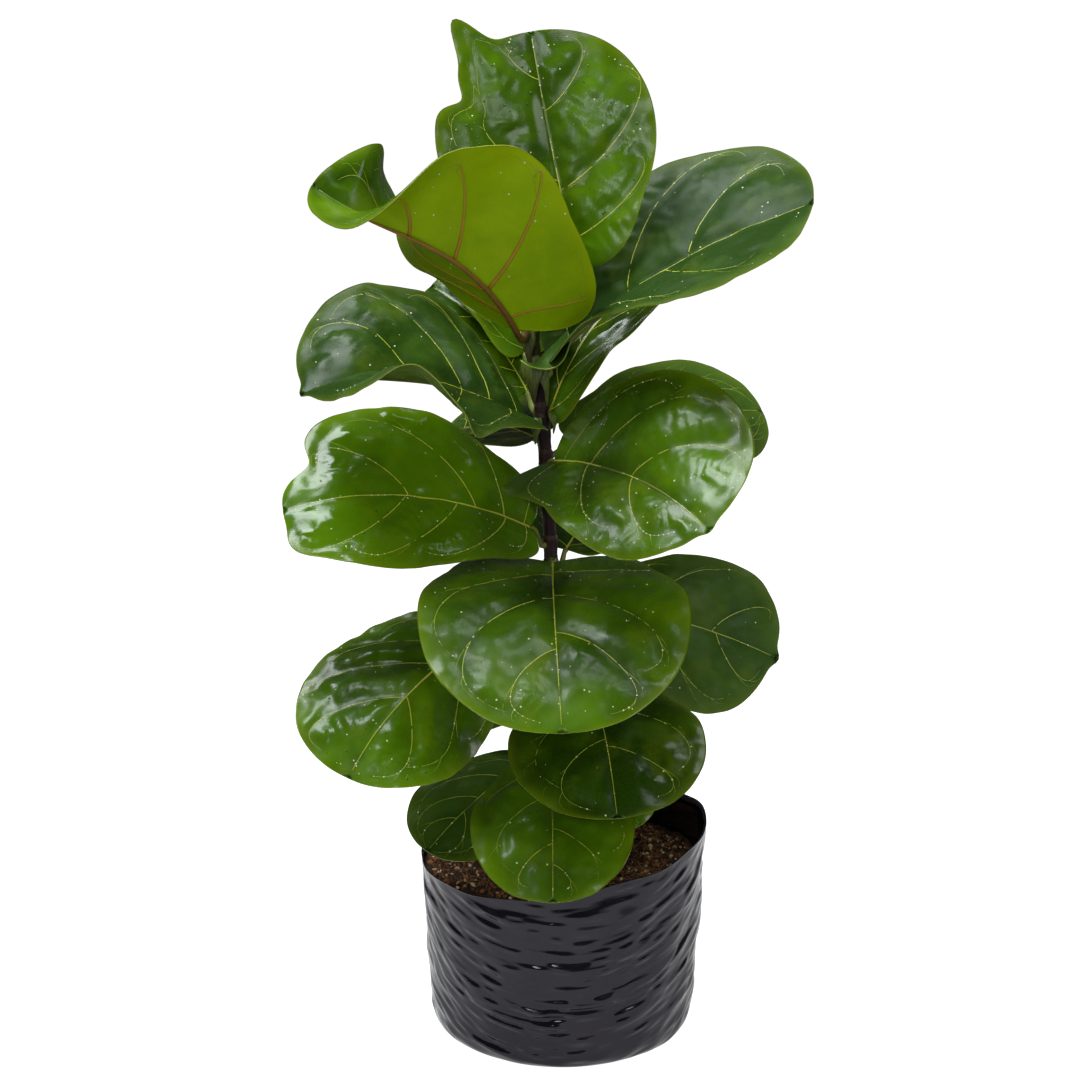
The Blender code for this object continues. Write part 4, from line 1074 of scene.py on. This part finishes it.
def makeStem():
    look = stemLook
    bottom, top = look["axis"][0][2], look["axis"][-1][2]
    heights = np.arange(bottom, top, look["step"])
    path = np.array([stemAxis(height) for height in heights])
    bud = np.linspace(0, 1, 14)
    path = np.concatenate([path, stemAxis(top) + np.stack([bud * 0, bud * 0, bud * look["bud"]], axis=-1)])
    radii = np.concatenate([[stemRadius(height) for height in heights],
                            look["radius"][1] * (1 - 0.9 * bud ** 1.6)])
    turn = np.linspace(0, 2 * np.pi, look["sides"], endpoint=False)
    across = np.stack([np.cos(turn), np.sin(turn), turn * 0], axis=-1)
    places = path[:, None, 2] + turn[None] * 0
    ridges = cloudNoise(np.cos(turn)[None] * 2.2, np.sin(turn)[None] * 2.2, places * 60, 11)
    fine = smoothNoise(np.cos(turn)[None] * 5, np.sin(turn)[None] * 5, places * 420, 12)
    rings = np.zeros(len(path))
    lift, width, ridge, groove = look["scar"]
    for leaf in leafValues.values():
        gap = (path[:, 2] - leaf["height"] - lift) / width
        rings += ridge * np.exp(-gap ** 2) - groove * np.exp(-(gap - 2.2) ** 2)
    depth = radii[:, None] + rings[:, None] + ridges * look["ridge"] + fine * look["grain"]
    depth = np.minimum(depth, radii[:, None] + look["ridge"])
    rows = path[:, None] + across[None] * depth[..., None]
    tone = np.zeros((rows.shape[0] * rows.shape[1] + 2, 4))
    tone[:-2, 0] = np.repeat((path[:, 2] - bottom) / (top - bottom), look["sides"])
    tone[:-2, 1] = np.repeat(np.clip(np.abs(rings) / groove, 0, 1), look["sides"])
    tone[-1, 0] = 1
    parts = MeshParts()
    addClosed(parts, rows, [path[0], path[-1] + (0, 0, 0.0004)], 0, tone, "stem")
    return parts


def barkMaterial():
    material, bench, surface = newMaterial("stemBark", Specular_IOR_Level=0.25)
    along, ring, _, _ = bench.tone()
    stripes = bench.noise(60, 4, 0.6, stretch=(9, 9, 1))
    color = bench.blend(bench.remap(stripes, 0.35, 0.68), *stemLook["barkTones"])
    color = bench.blend(bench.math("MULTIPLY", ring, 0.55), color, stemLook["scarTone"])
    young = bench.remap(along, 0.86, 1.0)
    color = bench.blend(bench.math("MULTIPLY", young, 0.7), color, stemLook["youngTone"])
    flecks = bench.remap(bench.cells(420), 0.10, 0.16, 1.0, 0.0)
    color = bench.blend(bench.math("MULTIPLY", flecks, 0.35), color, stemLook["fleckTone"])
    height = bench.math("ADD", stripes, bench.math("MULTIPLY", flecks, 0.5))
    finishSurface(bench, surface, color, bench.remap(stripes, 0.3, 0.7, 0.38, 0.58), height, 0.6, 0.0006)
    return material


addPiece(makeStem(), "stemBark", [barkMaterial()], "stem_bark", "stem")
print("stem ready")


bagLook = {
    "floorRadius": 0.090,
    "lowRadius": 0.1008,
    "topRadius": 0.1090,
    "edgeHeight": 0.015,
    "rimHeight": 0.148,
    "rimTilt": 0.015,
    "highSide": 20,              # degrees, the side where the rim stands highest
    # height, number round the bag and start of each wave of the rim
    "rimWaves": ((0.0012, 5, 1.0), (0.0008, 9, 0.0)),
    # depth, number round the bag, turn with height and start of each broad wave of the wall
    "wallWaves": ((0.0006, 3, 0, 0.6), (0.0005, 7, 90, 0.0), (0.0004, 11, -60, 2.0)),
    "film": 0.0010,
    "turns": 420,                # points round the bag
    "wallRows": 120,
    "wallReach": 0.106,          # middle radius, by which lengths round the bag are measured
    # length along the film, distance from one to the next and depth of each kind of ripple
    "ripples": ((0.017, 0.0036, 0.00155), (0.030, 0.0062, 0.00150), (0.018, 0.0020, 0.00022)),
    "swag": 0.050,               # how far the ripples dip between the bag's sides
    "mostRelief": 0.0022,
    "sunk": 0.0003,
    "fold": 0.0010,
    "foldReach": 0.055,
    # angle, height, slope and width of the long creases where the flat bag was folded
    "folds": ((-2.35, 0.030, -0.55, 0.0022), (-2.05, 0.060, -0.35, 0.0018), (-1.25, 0.052, 0.06, 0.0020),
              (-0.75, 0.035, 0.45, 0.0022), (-0.55, 0.085, 0.70, 0.0020), (-2.75, 0.090, -0.80, 0.0022),
              (0.9, 0.060, 0.30, 0.0025), (1.9, 0.080, -0.30, 0.0025)),
    "pucker": 0.0009,            # of the rounded bottom edge
    "lip": (0.0007, 0.0005),     # the curled cut edge of the film, and how much it varies
    "liningDepths": (0.004, 0.008, 0.013, 0.019, 0.026, 0.034, 0.042),     # below the rim, inside
    "liningGap": 0.0011,
    "filmTones": ((0.003, 0.003, 0.005), (0.008, 0.007, 0.011)),
    "dustTone": (0.12, 0.11, 0.12),
}


def rimHeight(angle):
    wave = sum(size * np.sin(count * angle + start) for size, count, start in bagLook["rimWaves"])
    tilt = np.cos(angle - math.radians(bagLook["highSide"]))
    return bagLook["rimHeight"] + bagLook["rimTilt"] * tilt + wave


def wallRadius(angle, height):
    look = bagLook
    share = np.clip((height - look["edgeHeight"]) / (look["rimHeight"] - look["edgeHeight"]), 0, 1.1)
    radius = look["lowRadius"] + (look["topRadius"] - look["lowRadius"]) * share ** 0.8
    waves = sum(depth * np.sin(count * angle + turn * height + start)
                for depth, count, turn, start in look["wallWaves"])
    return radius + waves * np.minimum(share * 4, 1)


def filmCreases(angle, height):
    # ripples that hang in shallow swags between the bag's two sides: long and level in the middle of the
    # front and back, finer and slanting towards the sides
    look = bagLook
    around = look["wallReach"] * angle
    level = height + look["swag"] * np.sqrt(np.sin(angle) ** 2 + 0.02)
    total = np.zeros(np.broadcast(angle, height).shape)
    for layer, (length, gap, depth) in enumerate(look["ripples"]):
        turns = np.round(2 * np.pi * look["wallReach"] / length)
        drift = 0.6 * smoothNoise(around / 0.03, height / 0.02, 3 + layer, 21)
        place = (angle / (2 * np.pi)) % 1 * turns
        seam = np.clip((place - turns + 1), 0, 1)
        first, second = (smoothNoise(start, level / gap + drift, layer, 31 + layer)
                         for start in (place, place - turns))
        total = total + depth * (first * (1 - seam) + second * seam)
    calm = 1 - 0.45 * np.cos(angle) ** 2
    return total * calm * (0.8 + 0.2 * smoothNoise(around / 0.035, height / 0.03, 9, 41))


def softRelief(values):
    most = bagLook["mostRelief"]
    return most * np.tanh((values - bagLook["sunk"]) / most)


def bagFolds(angle, height):
    folds = np.zeros(np.broadcast(angle, height).shape)
    for turn, lift, slope, width in bagLook["folds"]:
        around = bagLook["wallReach"] * ((angle - turn + np.pi) % (2 * np.pi) - np.pi)
        gap = height - lift - slope * around - 1.5 * around ** 2
        folds -= np.exp(-(gap / width) ** 2) * np.exp(-(around / bagLook["foldReach"]) ** 2)
    return folds


def makeBag():
    # rings from the flat floor up the outside, over the curled lip and a little way down inside
    look = bagLook
    angle = np.linspace(0, 2 * np.pi, look["turns"], endpoint=False)[None]
    level = angle * 0
    rim = rimHeight(angle)
    share = np.linspace(0, 1, look["wallRows"])[:, None]
    height = look["edgeHeight"] + (rim - look["edgeHeight"]) * share
    calmRim = 1 - 0.75 * smoothStep(0.93, 1.0, share)
    relief = (filmCreases(angle, height) + bagFolds(angle, height) * look["fold"]) * calmRim
    wall = wallRadius(angle, height) + softRelief(relief)
    turn = np.radians(np.linspace(0, 90, 14, endpoint=False))[:, None]
    edgeHeight = look["edgeHeight"] * (1 - np.cos(turn))
    fade = np.sin(turn)
    edgeReach = wallRadius(angle, look["edgeHeight"] + level)
    edge = look["floorRadius"] + (edgeReach - look["floorRadius"]) * fade
    edge = edge + softRelief(filmCreases(angle, edgeHeight)) * fade
    edge = edge + look["pucker"] * smoothNoise(angle * 9 / np.pi, 0.5, 0, 51) * np.sin(2 * turn)
    rings = [(level + look["floorRadius"] * part, level) for part in (0.30, 0.62, 0.86)]
    rings += [(edge[row:row + 1], edgeHeight[row] + level) for row in range(len(turn))]
    rings += [(wall[row:row + 1], height[row:row + 1]) for row in range(look["wallRows"])]
    roll = look["lip"][0] + look["lip"][1] * smoothNoise(angle * 14 / np.pi, 1.5, 0, 52)
    for part in np.radians((20, 60, 100, 140, 180)):
        curl = 1 - np.cos(part)
        rings.append((wall[-1:] + roll * (np.sin(part) * 0.9 - curl * 0.8), rim - roll * curl * 0.4))
    for depth in look["liningDepths"]:
        place = rim - depth
        dents = 0.0006 * smoothNoise(angle * 16 / np.pi, place / 0.006, 0, 53)
        rings.append((wallRadius(angle, place) - look["film"] - look["liningGap"] + dents, place))
    rings += [(edgeReach - 0.0016, level + look["edgeHeight"]),
              (level + look["floorRadius"], level + look["film"])]
    radius, heights = (np.concatenate(values) for values in zip(*rings))
    rows = np.stack([radius * np.cos(angle), radius * np.sin(angle), heights], axis=-1)
    parts = MeshParts()
    addClosed(parts, rows, [(0, 0, 0), (0, 0, look["film"])], node="grow_bag")
    return parts


def filmMaterial():
    material, bench, surface = newMaterial("growBagFilm", Coat_Weight=0.0, Specular_IOR_Level=0.42,
                                           Specular_Tint=(0.93, 0.88, 1.0))
    haze = bench.noise(28, 4, 0.6)
    color = bench.blend(bench.remap(haze, 0.35, 0.7), *bagLook["filmTones"])
    dust = bench.remap(bench.noise(700, 3, 0.6), 0.66, 0.80)
    color = bench.blend(bench.math("MULTIPLY", dust, 0.25), color, bagLook["dustTone"])
    creases = bench.noise(150, 3, 0.5, stretch=(0.3, 0.3, 1.8))
    height = bench.math("ADD", creases, bench.math("MULTIPLY", bench.noise(1500, 2, 0.5), 0.06))
    finishSurface(bench, surface, color, bench.remap(haze, 0.3, 0.7, 0.07, 0.16), height, 0.35, 0.0006)
    return material


addPiece(makeBag(), "growBagFilm", [filmMaterial()], "grow_bag_film", "grow_bag")
print("grow bag ready")


soilLook = {
    "height": 0.127,
    "clearance": 0.0012,         # from the film
    "turns": 210,
    "rows": 86,
    "dips": (0.0014, 0.0009),    # depth of the broad and of the narrower hollows
    "lumps": 0.0038,
    "crumbs": 0.0010,
    "patches": (130, 520),       # how many lumps and crumbs in a metre
    "bottom": 0.0015,
    "sideLevels": (0.015, 0.05, 0.09, 0.118),
    "soilTones": ((0.004, 0.0015, 0.001), (0.060, 0.020, 0.007)),
    "grainTone": (0.190, 0.070, 0.020),
    "perlite": 620,
    "chips": 1800,
    "fibres": 380,
    "perliteSize": (0.0006, 0.0023),
    "chipSize": (0.0009, 0.0030),
    "fibreLength": (0.010, 0.034),
    "fibreRadius": (0.00016, 0.00032),
    "fibreReach": 0.100,         # a fibre that would run further out is left off
    # dark tone, light tone and roughness of each kind of grain
    "grains": {"coirChips": ((0.006, 0.002, 0.001), (0.280, 0.105, 0.030), 0.95),
               "perlite": ((0.38, 0.20, 0.07), (0.90, 0.76, 0.50), 0.8),
               "coirFibres": ((0.110, 0.040, 0.012), (0.45, 0.24, 0.09), 0.7)},
}


def soilTop(x, y):
    broad, narrow = soilLook["dips"]
    low = broad * np.sin(95 * x + 1.0) * np.sin(80 * y) + narrow * np.sin(210 * x + 150 * y)
    lump, crumb = soilLook["patches"]
    lumps = cloudNoise(x * lump, y * lump, 0, 61, 4)
    crumbs = np.abs(smoothNoise(x * crumb, y * crumb, 0, 62))
    return (soilLook["height"] + low + soilLook["lumps"] * (lumps * 0.7 - 0.1)
            + soilLook["crumbs"] * (crumbs - 0.4))


def soilReach(angle):
    return wallRadius(angle, soilLook["height"] + angle * 0) - bagLook["film"] - soilLook["clearance"]


def makeSoil():
    look = soilLook
    angle = np.linspace(0, 2 * np.pi, look["turns"], endpoint=False)[None]
    share = np.linspace(1, 0, look["rows"], endpoint=False)[:, None]
    radius = soilReach(angle) * share
    x, y = radius * np.cos(angle), radius * np.sin(angle)
    top = np.stack([x, y, soilTop(x, y)], axis=-1)
    sides = [(bagLook["floorRadius"] - 0.006, look["bottom"])]
    for level in look["sideLevels"]:
        sides.append((soilReach(angle) - 0.004 - (look["sideLevels"][-1] - level) * 0.05, level))
    sides = [np.stack([reach * np.cos(angle), reach * np.sin(angle), level + angle * 0], axis=-1)
             for reach, level in sides]
    rows = np.concatenate([*sides, top])
    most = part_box("soil")[1].z + 0.002
    rows[..., 2] = np.minimum(rows[..., 2], most)
    parts = MeshParts()
    addClosed(parts, rows, [(0, 0, look["bottom"]), (0, 0, min(float(soilTop(0.0, 0.0)), most))])
    return parts


def scatterOnSoil(random, count, inner=0.010, outer=0.004):
    angle = random.uniform(0, 2 * np.pi, count)
    radius = np.sqrt(random.uniform(inner ** 2, (soilReach(angle) - outer) ** 2))
    return radius * np.cos(angle), radius * np.sin(angle)


def addGrains(parts, random, count, sizes, slot, lift):
    # rough little lumps with a few flat sides
    x, y = scatterOnSoil(random, count)
    radii = random.uniform(*sizes, count) * random.uniform(0.6, 1.0, count)
    sphere = [(math.cos(turn) * math.cos(rise), math.sin(turn) * math.cos(rise), math.sin(rise))
              for rise in (-0.7, 0.1, 0.8) for turn in np.arange(6) * math.pi / 3 + rise]
    sphere = np.array(sphere + [(0, 0, -1), (0, 0, 1)])
    for place, radius in zip(np.stack([x, y, soilTop(x, y) + lift * radii], axis=-1), radii):
        stretch = random.uniform(0.55, 1.25, 3)
        spin = np.linalg.qr(random.normal(size=(3, 3)))[0]
        spin *= np.sign(np.linalg.det(spin))
        lump = (sphere * random.uniform(0.75, 1.2, (20, 1)) * stretch * radius) @ spin + place
        shade = (random.uniform(), random.uniform(), 0, 0)
        addClosed(parts, lump[:-2].reshape(3, 6, 3), lump[-2:], slot, shade)


def addFibres(parts, random, count, slot):
    # coir hairs that curl over the surface
    x, y = scatterOnSoil(random, count, outer=0.016)
    step = np.linspace(0, 1, 11)
    for start, heading in zip(zip(x, y), random.uniform(0, 2 * np.pi, count)):
        length = random.uniform(*soilLook["fibreLength"])
        bend = random.uniform(-3.4, 3.4)
        direction = heading + bend * step + 0.5 * np.sin(step * random.uniform(4, 11))
        along = np.cumsum(np.stack([np.cos(direction), np.sin(direction)], axis=-1), axis=0)
        along = along * length / (len(step) - 1) + start
        level = soilTop(along[:, 0], along[:, 1])
        level = level + 0.0004 + random.uniform(0.0, 0.0045) * np.sin(step * np.pi) ** 2
        reach = np.hypot(along[:, 0], along[:, 1])
        if reach.max() > soilLook["fibreReach"]:
            continue
        path = np.column_stack([along, level])
        radius = random.uniform(*soilLook["fibreRadius"])
        shade = (random.uniform(), 0, 0, 0)
        addTube(parts, path, radius * (1.1 - 0.7 * step), 4, slot, shade)


def soilMaterial():
    material, bench, surface = newMaterial("pottingSoil", Roughness=0.95)
    broad = bench.noise(90, 5, 0.65)
    grains = bench.noise(900, 3, 0.7)
    color = bench.blend(bench.remap(broad, 0.3, 0.7), *soilLook["soilTones"])
    color = bench.blend(bench.remap(grains, 0.52, 0.72), color, soilLook["grainTone"])
    finishSurface(bench, surface, color, None, bench.math("ADD", broad, grains), 1.0, 0.0016)
    return material


def grainMaterial(name, dark, light, rough):
    material, bench, surface = newMaterial(name, Roughness=rough)
    shade = bench.tone()[0]
    color = bench.blend(shade, dark, light)
    spots = bench.noise(1500, 3, 0.6)
    color = bench.blend(bench.remap(spots, 0.5, 0.75, 0.0, 0.5), color, dark)
    finishSurface(bench, surface, color, None, spots, 0.6, 0.0005)
    return material


def dressSoil():
    random = np.random.default_rng(5)
    addPiece(makeSoil(), "pottingSoil", [soilMaterial()], "potting_soil", "soil")
    parts = MeshParts()
    addGrains(parts, random, soilLook["chips"], soilLook["chipSize"], 0, 0.3)
    addGrains(parts, random, soilLook["perlite"], soilLook["perliteSize"], 1, 0.5)
    addFibres(parts, random, soilLook["fibres"], 2)
    materials = [grainMaterial(name, *values) for name, values in soilLook["grains"].items()]
    addPiece(parts, "soilGrains", materials, "potting_soil")


dressSoil()
print("soil ready")


speckLook = {
    "specks": 900,               # loose specks for a blade one metre long and wide
    "veinSpecks": 0.35,          # chance of one at each step along a side vein
    "ribSpecks": 7,              # on the midrib
    "speckSize": (0.00025, 0.00078),
    "rise": 0.55,                # height, as a share of the radius
    "speckTones": ((0.50, 0.50, 0.25), (0.80, 0.80, 0.62)),
    "drops": 55,                 # on a leaf that is wet
    "dropSize": (0.00035, 0.0010),
    "dropRise": 0.6,
    "dropTones": ((0.010, 0.055, 0.005), (0.030, 0.120, 0.010)),
}


def addSpecks(specks, drops, blade):
    look, leaf = speckLook, blade.values
    random = np.random.default_rng(100 + blade.seed)
    half = bladeLook["thickness"] / 2
    much = leaf.get("specks", 1)
    shown = -1 if leaf.get("young", 0) > 0.5 else 1      # the young leaf shows its under side
    count = int(look["specks"] * blade.length * blade.width * much)
    rows = random.uniform(0.12, 0.95, count)
    columns = random.uniform(-0.96, 0.96, count)
    for vein in blade.veins:
        steps = np.linspace(0.25, 1, 14)
        chance = look["veinSpecks"] * much * random.uniform(0, 1.4)
        veinRows, veinColumns = blade.veinPath(vein, steps[random.uniform(size=14) < chance])
        rows, columns = np.concatenate([rows, veinRows]), np.concatenate([columns, veinColumns])
    steps = random.uniform(0.5, 0.95, int(look["ribSpecks"] * much))
    rows, columns = np.concatenate([rows, steps]), np.concatenate([columns, steps * 0])
    if len(rows):
        places, up = blade.layOn(np.clip(rows, 0.03, 0.97), columns)
        sizes = random.uniform(*look["speckSize"], len(rows))
        addDomes(specks, blade.fit(places + up * half * shown), up * shown, sizes, look["rise"])
    count = int(look["drops"] * leaf.get("wet", 0))
    if count:
        rows, columns = random.uniform(0.15, 0.9, count), random.uniform(-0.9, 0.9, count)
        places, up = blade.layOn(rows, columns)
        small, big = look["dropSize"]
        sizes = small + (big - small) * random.uniform(size=count) ** 2
        addDomes(drops, blade.fit(places + up * half), up, sizes, look["dropRise"], 12, 4)


def speckMaterial():
    material, bench, surface = newMaterial("sapSpeck", Roughness=0.6)
    color = bench.blend(bench.noise(900, 2, 0.5), *speckLook["speckTones"])
    finishSurface(bench, surface, color)
    return material


def dropMaterial():
    material, bench, surface = newMaterial("waterDrop", Roughness=0.04, Coat_Weight=0.0)
    color = bench.blend(bench.noise(80, 2, 0.5), *speckLook["dropTones"])
    finishSurface(bench, surface, color)
    return material


sheathLook = {
    # papery scales left round the stem at the leaves: top, tip, the way it faces in degrees, half width,
    # bulge, and how brown it is
    "scales": (((-0.0235, -0.006, 0.5200), (-0.0212, -0.0125, 0.4865), -95, 0.0088, 0.0045, 0.75),
               ((-0.0262, -0.005, 0.5420), (-0.0235, -0.0100, 0.5100), -120, 0.0060, 0.0035, 0.9),
               ((-0.0150, -0.003, 0.5130), (-0.0120, -0.0080, 0.4840), -40, 0.0052, 0.0030, 0.3),
               ((-0.0190, -0.006, 0.4745), (-0.0205, -0.0110, 0.4560), -110, 0.0042, 0.0026, 0.15),
               ((-0.0085, -0.004, 0.4790), (-0.0072, -0.0070, 0.4630), -25, 0.0042, 0.0026, 0.1),
               ((-0.0120, 0.004, 0.4480), (-0.0180, 0.0060, 0.4290), 150, 0.0042, 0.0026, 0.3),
               ((-0.0070, -0.005, 0.3690), (-0.0100, -0.0115, 0.3500), -80, 0.0044, 0.0030, 0.5),
               ((-0.0120, 0.004, 0.3260), (-0.0110, 0.0100, 0.3080), 100, 0.0042, 0.0026, 0.6)),
    "thickness": 0.0006,
    "greenTones": ((0.030, 0.060, 0.004), (0.120, 0.165, 0.018)),
    "brownTone": (0.035, 0.012, 0.006),
}


def addScales(parts):
    for top, tip, facing, width, bulge, brown in sheathLook["scales"]:
        top, tip = np.array(top), np.array(tip)
        facing = math.radians(facing)
        out = np.array([math.cos(facing), math.sin(facing), 0.0])
        side = unit(np.cross(out, tip - top))
        down = np.linspace(0, 1, 18)[:, None, None]
        turn = np.linspace(-1, 1, 15)[None, :, None]
        shape = (0.55 + 0.45 * np.sin(np.pi * np.minimum(down * 1.6, 1))) * (1 - down ** 2.4)
        half = width * shape + 0.0003
        fold = 0.10 * np.sin(7 * turn + 5 * down) * half
        middle = (top + (tip - top) * down + out * (bulge * np.sin(np.pi * down ** 0.8) + fold)
                  - out * half * 0.75 * turn ** 2 + side * half * turn)
        tone = np.zeros((*middle.shape[:2], 4))
        tone[..., 0] = np.clip(brown * (0.25 + 0.9 * down[..., 0] ** 1.5), 0, 1)
        addSheet(parts, middle, sheathLook["thickness"], 0, tone)


def scaleMaterial():
    material, bench, surface = newMaterial("stemScale", Roughness=0.45, Specular_IOR_Level=0.3)
    brown = bench.tone()[0]
    streaks = bench.noise(260, 4, 0.6, stretch=(3, 3, 0.5))
    green = bench.blend(bench.remap(streaks, 0.35, 0.68), *sheathLook["greenTones"])
    share = bench.math("MULTIPLY_ADD", streaks, 0.5, bench.math("SUBTRACT", brown, 0.25))
    color = bench.blend(bench.clamp(share), green, sheathLook["brownTone"])
    finishSurface(bench, surface, color, None, streaks, 0.5, 0.0004)
    return material


earLook = {
    # the rounded ear at the foot of leaf_03 that wraps round in front of the stem: its root and its rim,
    # each from the left end to the right one
    "root": ((-0.0150, -0.0060, 0.5215), (-0.0125, -0.0060, 0.5235), (-0.0085, -0.0065, 0.5275),
             (-0.0030, -0.0070, 0.5330), (0.0030, -0.0080, 0.5395)),
    "rim": ((-0.0310, -0.0190, 0.5195), (-0.0235, -0.0250, 0.5160), (-0.0100, -0.0280, 0.5150),
            (0.0000, -0.0250, 0.5215), (0.0065, -0.0150, 0.5385)),
    "bulge": 0.0045,
    "bulgeWay": (0.15, -0.55, -0.8),
    "edge": 0.00055,
}


def addEar(parts):
    across = np.linspace(0, 1, 26)
    root, rim = (np.stack([alongStations(values, across) for values in zip(*earLook[line])], axis=-1)
                 for line in ("root", "rim"))
    out = np.linspace(0, 1, 14)[:, None, None]
    bulge = np.array(earLook["bulgeWay"]) * earLook["bulge"]
    middle = root + (rim - root) * out + bulge * np.sin(np.pi * out ** 0.9)
    middle[..., 2] += 0.0008 * np.sin(9 * across)[None] * out[..., 0] ** 2
    tone = np.zeros((*middle.shape[:2], 4))
    tone[..., 1] = np.exp(-(1 - out[..., 0]) / 0.16)
    tone[..., 2] = 0.45
    tone[..., 3] = 0.3
    addSheet(parts, middle, bladeLook["thickness"], 0, tone)
    addTube(parts, rim, np.full(len(rim), earLook["edge"]), 8, 2)


specks, drops = MeshParts(), MeshParts()
for name, values in leafValues.items():
    parts, blade = makeLeaf(name, values)
    finish = ("leafUnder", "leafMargin", "topVein", "underRib", "underRib")
    if values.get("young", 0) > 0.5:
        finish = ("youngUnder", "leafMargin", "topVein", "youngRib", "youngStalk")
    # dusty leaves take the greyer finish whose darker colours are partly painted shade
    top = "leafDustyAndShaded" if values.get("dustyAndShaded", 0) else "leafTop"
    if name == "leaf_03":
        addEar(parts)
    materials = [leafMaterials[label] for label in (top, *finish)]
    addPiece(parts, "leaf" + name[-2:], materials, "leaf_green", name)
    addSpecks(specks, drops, blade)
scales = MeshParts()
addScales(scales)
addPiece(scales, "stemScales", [scaleMaterial()], "stem_bark")
addPiece(specks, "sapSpecks", [speckMaterial()], "leaf_green")
addPiece(drops, "waterDrops", [dropMaterial()], "leaf_green")
print("leaves ready")
